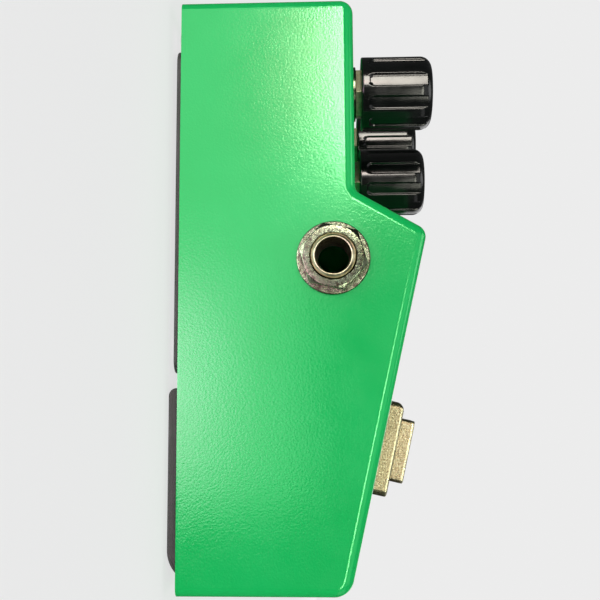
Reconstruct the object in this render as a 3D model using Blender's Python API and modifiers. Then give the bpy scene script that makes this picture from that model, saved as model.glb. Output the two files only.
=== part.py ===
"""Guitar effects pedal: a wedge-nosed die-cast stompbox with three knobs, a footswitch and two side jacks.

Frame: +X is the player's right, +Y the rear (knob) end and +Z up. The origin is under the middle of the
housing, level with the underside of the front pad. Lengths are in metres, written as millimetres * MM.
"""

import math

import bmesh
import bpy
from mathutils import Matrix, Vector

MM = 0.001
GAP = 0.3 * MM  # clearance between neighbouring solids

# Housing, with heights measured from the underside of the front pad.
LENGTH = 124 * MM
WIDTH = 70 * MM
BASE_Z = 2.5 * MM  # the housing's bottom edge
WALL = 2.2 * MM
FRONT_TOP_Z = 37.5 * MM
BROW_Y, BROW_Z = 12.1 * MM, 54.0 * MM
NOTCH_Y, NOTCH_Z = 20.6 * MM, 39.15 * MM
DECK_Z = 38.95 * MM
SIDE_FILLET = 2.2 * MM
FRONT_RADIUS, BROW_RADIUS = 4.0 * MM, 2.6 * MM
NOTCH_RADIUS, REAR_RADIUS = 2.0 * MM, 2.8 * MM
SLOPE = math.atan2(BROW_Z - FRONT_TOP_Z, BROW_Y + LENGTH / 2)
INNER_X = WIDTH / 2 - WALL
INNER_Y = LENGTH / 2 - WALL
DECK_UNDER_Z = DECK_Z - WALL

# Base
PLATE_THICKNESS = 1.2 * MM
PLATE_FRONT_Y = -18.9 * MM
MAT_BOTTOM_Z = 0.9 * MM
MAT_FRONT_Y, MAT_REAR_Y = -17.2 * MM, 53.1 * MM
PAD_INSET = 4.0 * MM
PAD_FRONT_Y, PAD_REAR_Y = -58.5 * MM, -20.3 * MM
PAD_THICKNESS = 2.4 * MM
PAD_TAPER = 5.2 * MM  # length of the curved front end of the pad
SCREW_X = 26.0 * MM
SCREW_YS = (56.4 * MM, -12.0 * MM)
BOSS_RADIUS = 3.1 * MM
BOSS_Z = 4.0 * MM
SCREW_RADIUS = 1.5 * MM
SCREW_HEAD_RADIUS = 2.8 * MM
SCREW_HEAD_Z = 0.9 * MM
SCREW_TIP_Z = 12.0 * MM

# Battery bay: the door hangs on a steel pin across the front of the housing.
HINGE_Y, HINGE_Z = -55.5 * MM, 4.6 * MM
HINGE_PIN_RADIUS = 1.0 * MM
KNUCKLE_RADIUS = 1.9 * MM
LUG_X = 31.3 * MM  # inner face of the housing's hinge lugs
PIN_HOLE_END = 33.6 * MM  # in the side wall, on both sides
DOOR_BOTTOM_Z, DOOR_TOP_Z = 2.7 * MM, 4.3 * MM
DOOR_FRONT_Y, DOOR_REAR_Y = -59.0 * MM, -19.6 * MM
DOOR_HALF_WIDTH = 32.3 * MM
BATTERY_SIZE = (46.4 * MM, 26.4 * MM, 17.4 * MM)
BATTERY_CENTRE = (-1.6 * MM, -36.6 * MM, 13.9 * MM)
SNAP_END = 4.4 * MM  # far side of the snap, from the battery's end face
TRAY_WALL = 1.2 * MM
TRAY_BOTTOM_Z, TRAY_TOP_Z = 4.9 * MM, 24.2 * MM
TRAY_X = (-26.6 * MM, 31.2 * MM)
TRAY_Y = (-51.4 * MM, -21.8 * MM)
LEAD_HOLE_X = (25.0 * MM, 29.2 * MM)  # in the tray's roof
LEAD_HOLE_Y = (-37.0 * MM, -29.0 * MM)
LEAD_RADIUS = 0.6 * MM
STUD_SPACING = 6.35 * MM  # of each battery stud, from the middle of the end face
STUD_HEIGHT = 2.2 * MM

# Controls: (name, x, y, turn of the knob at rest in degrees). At 0 a rib faces straight back.
CONTROLS = (
    ("drive", -21.5 * MM, 45.3 * MM, -4.5),
    ("tone", 0.0, 30.3 * MM, -12.0),
    ("level", 21.5 * MM, 45.3 * MM, 4.5),
)
KNOB_RADIUS = 8.1 * MM
KNOB_HEIGHT = 15.6 * MM
KNOB_LIFT = 1.9 * MM  # height of the knob's underside over the deck
KNOB_EDGE = 2.6 * MM  # rounding of the top edge
FLUTES = 10
FLUTE_CUT_RADIUS = 3.3 * MM
FLUTE_DEPTH = 0.5 * MM
FLUTE_START = 2.0 * MM  # above the knob's underside
KNOB_RECESS_RADIUS = 6.4 * MM
KNOB_RECESS_DEPTH = 4.0 * MM
SHAFT_RADIUS = 3.0 * MM
SHAFT_TOP = 13.4 * MM  # above the deck
POT_RADIUS = 8.0 * MM
POT_HEIGHT = 7.0 * MM
POT_BUSHING_RADIUS = 3.5 * MM
POT_BUSHING_TOP = 5.0 * MM
POT_NUT_RADIUS = 5.77 * MM
POT_NUT_TURN = 12.0  # degrees from -X towards -Y
POT_WASHER_RADIUS = 6.0 * MM
POT_STRIP_WIDTH, POT_STRIP_THICKNESS = 11.0 * MM, 1.6 * MM  # of the strip that holds a pot's pins
POT_STRIP_REACH = 2.6 * MM  # beyond the can
POT_PIN_PITCH = 4.0 * MM

# Indicator lamp
LAMP_Y = 50.3 * MM
LAMP_RADIUS = 2.5 * MM
LAMP_SLEEVE_RADIUS = 3.1 * MM
LAMP_LEAD_END_Z = 31.0 * MM  # just above the DC inlet

# Circuit board
BOARD_Z, BOARD_THICKNESS = 17.0 * MM, 1.6 * MM
BOARD_HALF_WIDTH = 30.0 * MM
BOARD_Y = (-7.0 * MM, 52.0 * MM)
BOARD_TOP = BOARD_Z + BOARD_THICKNESS + GAP  # where the components stand
CHIP_SIZE = (9.6 * MM, 6.4 * MM, 3.2 * MM)
CHIP_Y = 12.0 * MM
LEG_PITCH = 2.54 * MM
ELECTROLYTICS = (  # x, y, radius, height
    (-24 * MM, 24 * MM, 3.2 * MM, 7.5 * MM),
    (-15 * MM, 24 * MM, 2.5 * MM, 7.0 * MM),
    (24 * MM, 24 * MM, 3.2 * MM, 7.5 * MM),
)
FILM_SIZE = (7.2 * MM, 3.0 * MM, 6.5 * MM)
FILM_PLACES = ((-8 * MM, 2 * MM), (8 * MM, 2 * MM), (15 * MM, 24 * MM))
TRANSISTOR_RADIUS, TRANSISTOR_HEIGHT = 2.4 * MM, 4.6 * MM
TRANSISTOR_PLACES = ((-22 * MM, 6 * MM), (22 * MM, 6 * MM))

# Quarter-inch jacks
JACK_Y, JACK_Z = 6.1 * MM, 34.5 * MM
JACK_BORE_RADIUS = 3.25 * MM
JACK_THREAD_RADIUS = 4.55 * MM
JACK_MOUTH_RADIUS = 3.65 * MM
JACK_MOUTH = 4.4 * MM  # outwards from the side face
JACK_SLEEVE_END = -4.1 * MM
JACK_NUT_RADIUS = 12.5 * MM / math.sqrt(3)
JACK_NUT_TURN = 17.2  # degrees
JACK_WASHER_RADIUS = 7.6 * MM
JACK_FLANGE_HALF, JACK_FLANGE_THICKNESS = 6.5 * MM, 1.2 * MM
JACK_ARM_X = (7.0 * MM, 8.2 * MM)  # from the bore's axis
JACK_ARM_HALF_WIDTH, JACK_ARM_END = 4.5 * MM, -12.0 * MM
LEAF_WIDTH, LEAF_THICKNESS = 3.1 * MM, 0.4 * MM
LEAF_X = 4.2 * MM

# DC inlet
INLET_Z = 24.2 * MM
INLET_COLLAR_RADIUS = 4.3 * MM
INLET_BORE_RADIUS = 2.8 * MM
INLET_BORE_END = -9.0 * MM
INLET_HALF_WIDTH, INLET_HALF_HEIGHT, INLET_DEPTH = 6.0 * MM, 5.3 * MM, 13.0 * MM

# Footswitch, measured from the slope's surface along its normal
SWITCH_ALONG = 29.3 * MM  # from the front top edge, up the slope
BEZEL_SIZE, BEZEL_HEIGHT = 21.6 * MM, 4.5 * MM
BUTTON_SIZE, BUTTON_HEIGHT = 14.6 * MM, 7.8 * MM
BUTTON_BOTTOM = 3.5 * MM
BEZEL_FLOOR = 0.9 * MM
STEM_RADIUS, STEM_END = 4.0 * MM, -6.5 * MM
SHANK_RADIUS, SHANK_END = 6.0 * MM, -6.2 * MM
PANEL_NUT_RADIUS = 8.66 * MM
SPRING_RADIUS, SPRING_WIRE = 5.2 * MM, 0.6 * MM
SPRING_TURNS = 3
POCKET_RADIUS, POCKET_TOP = 6.3 * MM, 6.5 * MM  # under the button, for the spring
SWITCH_TOP, SWITCH_BOTTOM = -9.5 * MM, -15.9 * MM
SWITCH_HALF = 6.0 * MM
PLUNGER_RADIUS = 1.8 * MM

# Finishes: name -> (colour, roughness, metallic)
FINISHES = {
    "green_paint": ((0.03, 0.52, 0.15, 1), 0.35, 0.0),
    "black_rubber": ((0.02, 0.02, 0.02, 1), 0.8, 0.0),
    "zinc_steel": ((0.6, 0.6, 0.58, 1), 0.4, 1.0),
    "black_plastic": ((0.015, 0.015, 0.015, 1), 0.2, 0.0),
    "nickel": ((0.7, 0.68, 0.64, 1), 0.25, 1.0),
    "satin_nickel": ((0.62, 0.58, 0.5, 1), 0.45, 1.0),
    "board_green": ((0.03, 0.18, 0.08, 1), 0.5, 0.0),
    "red_lens": ((0.5, 0.01, 0.01, 1), 0.15, 0.0),
    "battery_label": ((0.1, 0.1, 0.12, 1), 0.4, 0.3),
    "red_insulation": ((0.5, 0.02, 0.02, 1), 0.5, 0.0),
    "capacitor_blue": ((0.03, 0.08, 0.3, 1), 0.4, 0.0),
    "brass": ((0.7, 0.5, 0.2, 1), 0.35, 1.0),
    "phenolic": ((0.35, 0.2, 0.1, 1), 0.6, 0.0),
}

for old in list(bpy.data.objects):
    bpy.data.objects.remove(old)

PARTS = bpy.data.collections.new("effects_pedal")
CUTTERS = bpy.data.collections.new("cutters")
CUTTERS.hide_render = True
for group in (PARTS, CUTTERS):
    bpy.context.scene.collection.children.link(group)


# Helpers


def finish(name):
    """The Principled material for one of FINISHES."""
    found = bpy.data.materials.get(name)
    if found:
        return found
    made = bpy.data.materials.new(name)
    made.use_nodes = True
    shader = made.node_tree.nodes["Principled BSDF"]
    colour, roughness, metallic = FINISHES[name]
    shader.inputs["Base Color"].default_value = colour
    shader.inputs["Roughness"].default_value = roughness
    shader.inputs["Metallic"].default_value = metallic
    return made


def add_object(name, mesh, parent=None, look=None):
    obj = bpy.data.objects.new(name, mesh)
    PARTS.objects.link(obj)
    obj.parent = parent
    if look:
        mesh.materials.append(finish(look))
    return obj


def add_axis(name, location, x_axis, z_axis):
    """An empty whose local Z is z_axis, for pieces that are turned or slide about it."""
    x, z = Vector(x_axis).normalized(), Vector(z_axis).normalized()
    turn = Matrix((x, z.cross(x), z)).transposed()
    axis = bpy.data.objects.new(name, None)
    PARTS.objects.link(axis)
    axis.matrix_world = Matrix.Translation(location) @ turn.to_4x4()
    return axis


def mesh_from(name, bm):
    mesh = bpy.data.meshes.new(name)
    bm.to_mesh(mesh)
    bm.free()
    return mesh


def add_boxes(name, corners, parent=None, look=None):
    """Boxes, each from its lowest to its highest corner, as one object."""
    bm = bmesh.new()
    for low, high in corners:
        size = [b - a for a, b in zip(low, high)]
        centre = [(a + b) / 2 for a, b in zip(low, high)]
        bmesh.ops.create_cube(bm, size=1, matrix=Matrix.Translation(centre) @ Matrix.Diagonal((*size, 1)))
    return add_object(name, mesh_from(name, bm), parent, look)


def add_box(name, low, high, parent=None, look=None):
    return add_boxes(name, [(low, high)], parent, look)


def add_cylinders(name, radius, bottom, top, centres=((0, 0),), parent=None, look=None, sides=24):
    """Upright cylinders of one size, as one object."""
    bm = bmesh.new()
    for x, y in centres:
        place = Matrix.Translation((x, y, (bottom + top) / 2))
        bmesh.ops.create_cone(
            bm, cap_ends=True, segments=sides, radius1=radius, radius2=radius, depth=top - bottom, matrix=place
        )
    return add_object(name, mesh_from(name, bm), parent, look)


def add_turned(name, profile, parent=None, look=None, steps=32, turn=0.0):
    """A profile of (radius, height) turned about local Z. It runs down its outer side, top to bottom.

    A profile that starts off the axis is a closed loop, so it makes a ring.
    """
    bm = bmesh.new()
    points = [bm.verts.new((radius, 0, height)) for radius, height in profile]
    for first, second in zip(points, points[1:]):
        bm.edges.new((first, second))
    if profile[0][0] > 0:
        bm.edges.new((points[-1], points[0]))
    obj = add_object(name, mesh_from(name, bm), parent, look)
    obj.rotation_euler.z = math.radians(turn)
    screw = obj.modifiers.new("turn", "SCREW")
    screw.steps = screw.render_steps = steps
    screw.use_merge_vertices = True
    screw.merge_threshold = 0.00001
    return obj


def ring(outer, inner, top, bottom):
    """The closed profile of a plain ring."""
    return [(outer, top), (outer, bottom), (inner, bottom), (inner, top)]


def rounded(corners, arc_steps=4):
    """The outline through (x, y, radius) corners, with each corner an arc."""
    outline = []
    count = len(corners)
    for i, (x, y, radius) in enumerate(corners):
        here = Vector((x, y))
        to_last = (Vector(corners[i - 1][:2]) - here).normalized()
        to_next = (Vector(corners[(i + 1) % count][:2]) - here).normalized()
        if radius <= 0:
            outline.append(here)
            continue
        half = to_last.angle(to_next) / 2
        centre = here + (to_last + to_next).normalized() * radius / math.sin(half)
        start = here + to_last * radius / math.tan(half) - centre
        end = here + to_next * radius / math.tan(half) - centre
        sweep = math.atan2(start.cross(end), start.dot(end))
        for step in range(arc_steps + 1):
            outline.append(centre + Matrix.Rotation(sweep * step / arc_steps, 2) @ start)
    return outline


def rectangle(half_x, low_y, high_y, radius):
    return rounded(
        [(-half_x, low_y, radius), (half_x, low_y, radius), (half_x, high_y, radius), (-half_x, high_y, radius)]
    )


def add_plate(name, outline, bottom, top, parent=None, look=None):
    """A flat outline of local (x, y) points between two heights, as a mesh."""
    curve = bpy.data.curves.new(name, "CURVE")
    curve.dimensions = "2D"
    curve.fill_mode = "BOTH"
    curve.extrude = (top - bottom) / 2
    spline = curve.splines.new("POLY")
    spline.points.add(len(outline) - 1)
    for point, (x, y) in zip(spline.points, outline):
        point.co = (x, y, 0, 1)
    spline.use_cyclic_u = True
    guide = bpy.data.objects.new(name, curve)
    PARTS.objects.link(guide)
    bpy.context.view_layer.update()
    mesh = bpy.data.meshes.new_from_object(guide.evaluated_get(bpy.context.evaluated_depsgraph_get()))
    bpy.data.objects.remove(guide)
    bm = bmesh.new()
    bm.from_mesh(mesh)
    bmesh.ops.remove_doubles(bm, verts=bm.verts, dist=0.00001)
    bmesh.ops.dissolve_limit(bm, angle_limit=math.radians(1), verts=bm.verts, edges=bm.edges)
    bmesh.ops.translate(bm, vec=(0, 0, (bottom + top) / 2), verts=bm.verts)
    bmesh.ops.recalc_face_normals(bm, faces=bm.faces)
    bm.to_mesh(mesh)
    bm.free()
    mesh.name = name
    return add_object(name, mesh, parent, look)


def add_wire(name, points, radius, look, parent=None):
    """A round wire with filled ends along a smooth curve through points."""
    curve = bpy.data.curves.new(name, "CURVE")
    curve.dimensions = "3D"
    curve.bevel_depth = radius
    curve.bevel_resolution = 2
    curve.use_fill_caps = True
    spline = curve.splines.new("POLY")
    spline.points.add(len(points) - 1)
    for point, place in zip(spline.points, points):
        point.co = (*place, 1)
    obj = bpy.data.objects.new(name, curve)
    PARTS.objects.link(obj)
    obj.parent = parent
    curve.materials.append(finish(look))
    return obj


def smooth_path(controls, steps=4):
    """Points on the smooth curve through the controls."""
    knots = [Vector(point) for point in controls]
    ends = [2 * knots[0] - knots[1], *knots, 2 * knots[-1] - knots[-2]]
    path = []
    for before, start, end, after in zip(ends, ends[1:], ends[2:], ends[3:]):
        for step in range(steps):
            t = step / steps
            path.append(
                0.5
                * (
                    2 * start
                    + (end - before) * t
                    + (2 * before - 5 * start + 4 * end - after) * t**2
                    + (3 * start - before - 3 * end + after) * t**3
                )
            )
    return [*path, knots[-1]]


def combine(obj, other, operation):
    """A Boolean on obj, with the other shape put away among the cutters."""
    boolean = obj.modifiers.new(other.name, "BOOLEAN")
    boolean.operation = operation
    boolean.object = other
    PARTS.objects.unlink(other)
    CUTTERS.objects.link(other)
    other.hide_render = True
    other.display_type = "WIRE"
    return obj


def cut(obj, other):
    return combine(obj, other, "DIFFERENCE")


def join(obj, other):
    return combine(obj, other, "UNION")


def add_nut(name, corner_radius, thread_radius, top, bottom, parent, turn=0.0):
    """A plain hex nut that clears its thread. turn is the angle of one corner from local X."""
    profile = [(0, top), (corner_radius, top), (corner_radius, bottom), (0, bottom)]
    nut = add_turned(name, profile, parent, "nickel", steps=6, turn=turn)
    bore = add_cylinders(f"{name}_bore", thread_radius + GAP, bottom - MM, top + MM, parent=parent)
    return cut(nut, bore)


def round_edges(obj, width, segments=2, angle=50):
    bevel = obj.modifiers.new("round", "BEVEL")
    bevel.width = width
    bevel.segments = segments
    bevel.limit_method = "ANGLE"
    bevel.angle_limit = math.radians(angle)
    bevel.use_clamp_overlap = False
    return obj


def slope_point(along, height=0.0):
    """The point on the middle of the slope, so far from its front top edge and above its surface."""
    return Vector(
        (
            0,
            -LENGTH / 2 + along * math.cos(SLOPE) - height * math.sin(SLOPE),
            FRONT_TOP_Z + along * math.sin(SLOPE) + height * math.cos(SLOPE),
        )
    )


# Frames that groups of pieces are placed in

SLOPE_AXIS = add_axis(
    "footswitch_axis", slope_point(SWITCH_ALONG), (1, 0, 0), (0, -math.sin(SLOPE), math.cos(SLOPE))
)
JACK_AXES = {
    "output": add_axis("output_jack_axis", (-WIDTH / 2, JACK_Y, JACK_Z), (0, -1, 0), (-1, 0, 0)),
    "input": add_axis("input_jack_axis", (WIDTH / 2, JACK_Y, JACK_Z), (0, -1, 0), (1, 0, 0)),
}
INLET_AXIS = add_axis("dc_inlet_axis", (0, LENGTH / 2, INLET_Z), (1, 0, 0), (0, 1, 0))
PROFILE_AXIS = add_axis("profile_axis", (0, 0, 0), (0, 1, 0), (1, 0, 0))
HINGE_AXIS = add_axis("door_hinge_axis", (0, HINGE_Y, HINGE_Z), (0, 1, 0), (1, 0, 0))


# Housing


def housing_outline(inset, radii, bottom):
    """The side profile as (y, z) points, moved inwards by inset and open downwards to bottom."""
    front, brow, notch, rear = radii
    brow_angle = math.atan2(BROW_Z - NOTCH_Z, NOTCH_Y - BROW_Y)
    deck_angle = math.atan2(NOTCH_Z - DECK_Z, LENGTH / 2 - NOTCH_Y)

    def corner(y, z, angle_in, angle_out):
        """Moves a corner inwards, between faces that run at these angles to the horizontal."""
        half = (angle_in + angle_out) / 2
        reach = inset / math.cos((angle_in - angle_out) / 2)
        return y + reach * math.sin(half), z - reach * math.cos(half)

    return rounded(
        [
            (-LENGTH / 2 + inset, bottom, 0),
            (*corner(-LENGTH / 2, FRONT_TOP_Z, math.pi / 2, SLOPE), front),
            (*corner(BROW_Y, BROW_Z, SLOPE, -brow_angle), brow),
            (*corner(NOTCH_Y, NOTCH_Z, -brow_angle, -deck_angle), notch),
            (*corner(LENGTH / 2, DECK_Z, -deck_angle, -math.pi / 2), rear),
            (LENGTH / 2 - inset, bottom, 0),
        ]
    )


def make_housing():
    radii = (FRONT_RADIUS, BROW_RADIUS, NOTCH_RADIUS, REAR_RADIUS)
    shell = add_plate(
        "enclosure_shell",
        housing_outline(0, radii, BASE_Z - 8 * MM),
        -WIDTH / 2,
        WIDTH / 2,
        PROFILE_AXIS,
        "green_paint",
    )
    round_edges(shell, SIDE_FILLET, segments=4)
    reach = 50 * MM
    cut(shell, add_box("below_the_base", (-WIDTH, -LENGTH, -reach), (WIDTH, LENGTH, BASE_Z)))
    inner_radii = (FRONT_RADIUS - WALL, 1 * MM, NOTCH_RADIUS + WALL, 1 * MM)
    cavity = add_plate(
        "cavity", housing_outline(WALL, inner_radii, -3 * MM), -INNER_X, INNER_X, PROFILE_AXIS
    )
    cut(shell, cavity)
    add_bosses(shell)
    add_hinge_lugs(shell)
    add_panel_holes(shell)
    return shell


def add_bosses(shell):
    """Columns from the roof down to the base plate, each with a pilot hole for its screw."""
    for i, y in enumerate(SCREW_YS):
        roof = DECK_UNDER_Z if y > NOTCH_Y else slope_point((y + LENGTH / 2) / math.cos(SLOPE))[2] - WALL
        places = [(-SCREW_X, y), (SCREW_X, y)]
        sink = 0.8 * MM
        join(shell, add_cylinders(f"bosses_{i}", BOSS_RADIUS, BOSS_Z, roof + sink, places, sides=12))
        cut(
            shell,
            add_cylinders(
                f"pilot_holes_{i}", SCREW_RADIUS + GAP, BOSS_Z - MM, SCREW_TIP_Z + MM, places, sides=12
            ),
        )


def add_hinge_lugs(shell):
    """Two lugs inside the front corners, bored for the door's pin."""
    half = 2.6 * MM
    sink = 0.5 * MM
    lugs = [
        (
            (side * LUG_X if side > 0 else -INNER_X - sink, HINGE_Y - half, HINGE_Z - half + MM),
            (INNER_X + sink if side > 0 else side * LUG_X, HINGE_Y + half, HINGE_Z + half),
        )
        for side in (-1, 1)
    ]
    join(shell, add_boxes("hinge_lugs", lugs))
    cut(
        shell,
        add_cylinders(
            "pin_hole", HINGE_PIN_RADIUS + GAP, -PIN_HOLE_END, PIN_HOLE_END, parent=HINGE_AXIS, sides=12
        ),
    )


def add_panel_holes(shell):
    through = 4 * MM
    deck_holes = [(name, POT_BUSHING_RADIUS, x, y) for name, x, y, _ in CONTROLS]
    deck_holes.append(("lamp", LAMP_SLEEVE_RADIUS, 0, LAMP_Y))
    for name, radius, x, y in deck_holes:
        hole = add_cylinders(
            f"{name}_hole", radius + GAP, DECK_UNDER_Z - through, DECK_Z + through, [(x, y)]
        )
        cut(shell, hole)
    for side, axis in JACK_AXES.items():
        cut(
            shell,
            add_cylinders(f"{side}_hole", JACK_THREAD_RADIUS + GAP, -WALL - through, through, parent=axis),
        )
    cut(
        shell,
        add_cylinders("inlet_hole", INLET_COLLAR_RADIUS + GAP, -WALL - through, through, parent=INLET_AXIS),
    )
    cut(
        shell,
        add_cylinders("switch_hole", SHANK_RADIUS + GAP, -WALL - through, through, parent=SLOPE_AXIS),
    )


# Base


def make_base():
    plate = add_plate(
        "base_plate",
        rectangle(INNER_X - GAP, PLATE_FRONT_Y, INNER_Y - GAP, 1 * MM),
        BASE_Z,
        BASE_Z + PLATE_THICKNESS,
        look="zinc_steel",
    )
    places = [(side * SCREW_X, y) for y in SCREW_YS for side in (-1, 1)]
    cut(
        plate,
        add_cylinders("plate_holes", SCREW_RADIUS + GAP, BASE_Z - MM, BASE_Z + 3 * MM, places, sides=16),
    )
    mat = add_plate(
        "base_mat",
        rectangle(WIDTH / 2 - PAD_INSET, MAT_FRONT_Y, MAT_REAR_Y, 3 * MM),
        MAT_BOTTOM_Z,
        BASE_Z - GAP,
        look="black_rubber",
    )
    head_room = 0.7 * MM
    near_holes = [(-SCREW_X, SCREW_YS[1]), (SCREW_X, SCREW_YS[1])]
    round_edges(mat, 0.5 * MM, segments=1)
    cut(
        mat,
        add_cylinders("mat_holes", SCREW_HEAD_RADIUS + head_room, -MM, BASE_Z + MM, near_holes, sides=20),
    )
    for i, (x, y) in enumerate(places):
        make_screw(f"base_screw_{i + 1}", x, y)


def make_screw(name, x, y):
    """A pan-head screw with a cross recess, head down."""
    head_top = BASE_Z - GAP
    dome = 0.4 * MM
    profile = [
        (0, SCREW_TIP_Z),
        (SCREW_RADIUS * 0.5, SCREW_TIP_Z),
        (SCREW_RADIUS, SCREW_TIP_Z - MM),
        (SCREW_RADIUS, head_top),
        (SCREW_HEAD_RADIUS, head_top),
        (SCREW_HEAD_RADIUS, SCREW_HEAD_Z + dome),
        (SCREW_HEAD_RADIUS - dome, SCREW_HEAD_Z),
        (0, SCREW_HEAD_Z),
    ]
    screw = add_turned(name, profile, look="zinc_steel", steps=12)
    screw.location = (x, y, 0)
    long, thin, deep = 1.6 * MM, 0.35 * MM, 0.7 * MM
    for i, (half_x, half_y) in enumerate(((long, thin), (thin, long))):
        slot = add_box(
            f"{name}_slot_{i}",
            (x - half_x, y - half_y, SCREW_HEAD_Z - MM),
            (x + half_x, y + half_y, SCREW_HEAD_Z + deep),
        )
        cut(screw, slot)


# Battery bay


def pad_profile():
    """The front pad from the side, as (y, z): an arc at its front end and a round corner at its rear."""
    radius = (PAD_TAPER**2 + PAD_THICKNESS**2) / (2 * PAD_THICKNESS)
    sweep = math.asin(PAD_TAPER / radius)
    steps = 6
    centre_y = PAD_FRONT_Y + PAD_TAPER
    arc = [
        (centre_y - radius * math.sin(sweep * k / steps), radius * (1 - math.cos(sweep * k / steps)))
        for k in range(steps, -1, -1)
    ]
    corner = 1.6 * MM
    rear = [
        (PAD_REAR_Y - corner + corner * math.sin(angle), corner * (1 - math.cos(angle)))
        for angle in (math.pi / 2 * k / 4 for k in range(5))
    ]
    return [*arc, *rear, (PAD_REAR_Y, PAD_THICKNESS)]


def make_door():
    """The battery door: a wide plate behind the lugs, a lip between them, and knuckles on the pin."""
    shoulder_y = HINGE_Y + 3.2 * MM
    door = add_plate(
        "battery_door",
        rectangle(DOOR_HALF_WIDTH, shoulder_y, DOOR_REAR_Y, 0.6 * MM),
        DOOR_BOTTOM_Z,
        DOOR_TOP_Z,
        look="black_plastic",
    )
    inner = LUG_X - GAP
    lip_rear_y = shoulder_y + 2 * MM
    join(
        door,
        add_box("door_lip", (-inner, DOOR_FRONT_Y, DOOR_BOTTOM_Z), (inner, lip_rear_y, DOOR_TOP_Z)),
    )
    knuckle = 4 * MM
    for side in (-1, 1):
        start, end = sorted((side * inner, side * (inner - knuckle)))
        join(
            door,
            add_cylinders(f"knuckle_{side}", KNUCKLE_RADIUS, start, end, parent=HINGE_AXIS, sides=16),
        )
    bore = HINGE_PIN_RADIUS + GAP
    cut(
        door,
        add_cylinders("door_pin_hole", bore, -WIDTH / 2, WIDTH / 2, parent=HINGE_AXIS, sides=12),
    )
    pin_end = PIN_HOLE_END - GAP
    add_cylinders(
        "door_hinge_pin", HINGE_PIN_RADIUS, -pin_end, pin_end, parent=HINGE_AXIS, look="zinc_steel", sides=12
    )
    half = WIDTH / 2 - PAD_INSET
    add_plate("door_pad", pad_profile(), -half, half, PROFILE_AXIS, "black_rubber")


def make_battery():
    x, y, z = BATTERY_CENTRE
    half = [size / 2 for size in BATTERY_SIZE]
    battery = add_box(
        "battery",
        (x - half[0], y - half[1], z - half[2]),
        (x + half[0], y + half[1], z + half[2]),
        look="battery_label",
    )
    round_edges(battery, 1.2 * MM)
    end_axis = add_axis("battery_end_axis", (x + half[0], y, z), (0, 1, 0), (1, 0, 0))
    make_studs(battery, end_axis)


def make_studs(battery, axis):
    """The two studs on the battery's end face, and the moulded snap that fits over both."""
    half_x, half_y = 12.6 * MM, 6.5 * MM
    snap = add_box("battery_snap", (-half_x, -half_y, GAP), (half_x, half_y, SNAP_END), axis, "black_plastic")
    round_edges(snap, 0.8 * MM)
    clearance = 0.4 * MM
    for name, radius, offset in (("plus", 2.9 * MM, -STUD_SPACING), ("minus", 4.0 * MM, STUD_SPACING)):
        place = [(offset, 0)]
        join(battery, add_cylinders(f"{name}_stud", radius, -MM, STUD_HEIGHT, place, axis, sides=16))
        socket = add_cylinders(
            f"{name}_socket", radius + clearance, -MM, STUD_HEIGHT + GAP, place, axis, sides=16
        )
        cut(snap, socket)


def make_tray():
    """The plastic box over the battery, open downwards to the door, with a hole in its roof for the leads."""
    low_x, high_x = TRAY_X
    low_y, high_y = TRAY_Y
    tray = add_box(
        "battery_tray", (low_x, low_y, TRAY_BOTTOM_Z), (high_x, high_y, TRAY_TOP_Z), look="black_plastic"
    )
    w = TRAY_WALL
    cut(
        tray,
        add_box("tray_inside", (low_x + w, low_y + w, 0), (high_x - w, high_y - w, TRAY_TOP_Z - w)),
    )
    lead_hole = add_box(
        "tray_lead_hole",
        (LEAD_HOLE_X[0], LEAD_HOLE_Y[0], TRAY_TOP_Z - 2 * w),
        (LEAD_HOLE_X[1], LEAD_HOLE_Y[1], TRAY_TOP_Z + w),
    )
    cut(tray, lead_hole)


def make_leads():
    """The two battery leads, from the snap up through the tray's roof and back to the board."""
    snap_x = BATTERY_CENTRE[0] + BATTERY_SIZE[0] / 2 + SNAP_END + MM
    for name, look, y, x_end in (
        ("battery_lead_red", "red_insulation", -34.6 * MM, 14 * MM),
        ("battery_lead_black", "black_plastic", -31.2 * MM, 18 * MM),
    ):
        route = [
            (snap_x, y, 15 * MM),
            (snap_x + 1.4 * MM, y, 18 * MM),
            (snap_x + 1.2 * MM, y, 23 * MM),
            (24.5 * MM, y + 3 * MM, 27.4 * MM),
            (x_end + 2 * MM, y + 13 * MM, 28 * MM),
            (x_end, -8 * MM, 26 * MM),
            (x_end, -3.6 * MM, 22.5 * MM),
            (x_end, -3 * MM, BOARD_TOP),
        ]
        add_wire(name, smooth_path(route, 2), LEAD_RADIUS, look)


# Controls


def knob_profile():
    """The knob's turned shape, hollow below: (radius, height above its underside)."""
    top = KNOB_HEIGHT
    edge_steps = 3
    crown = [
        (
            KNOB_RADIUS - KNOB_EDGE * (1 - math.sin(angle)),
            top - KNOB_EDGE * (1 - math.cos(angle)),
        )
        for angle in (math.pi / 2 * k / edge_steps for k in range(edge_steps + 1))
    ]
    bore = SHAFT_RADIUS + GAP
    bore_top = SHAFT_TOP - KNOB_LIFT + GAP
    return [
        (0, top),
        *crown,
        (KNOB_RADIUS, 0.3 * MM),
        (KNOB_RADIUS - 0.3 * MM, 0),
        (KNOB_RECESS_RADIUS, 0),
        (KNOB_RECESS_RADIUS, KNOB_RECESS_DEPTH),
        (bore, KNOB_RECESS_DEPTH),
        (bore, bore_top),
        (0, bore_top),
    ]


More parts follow.
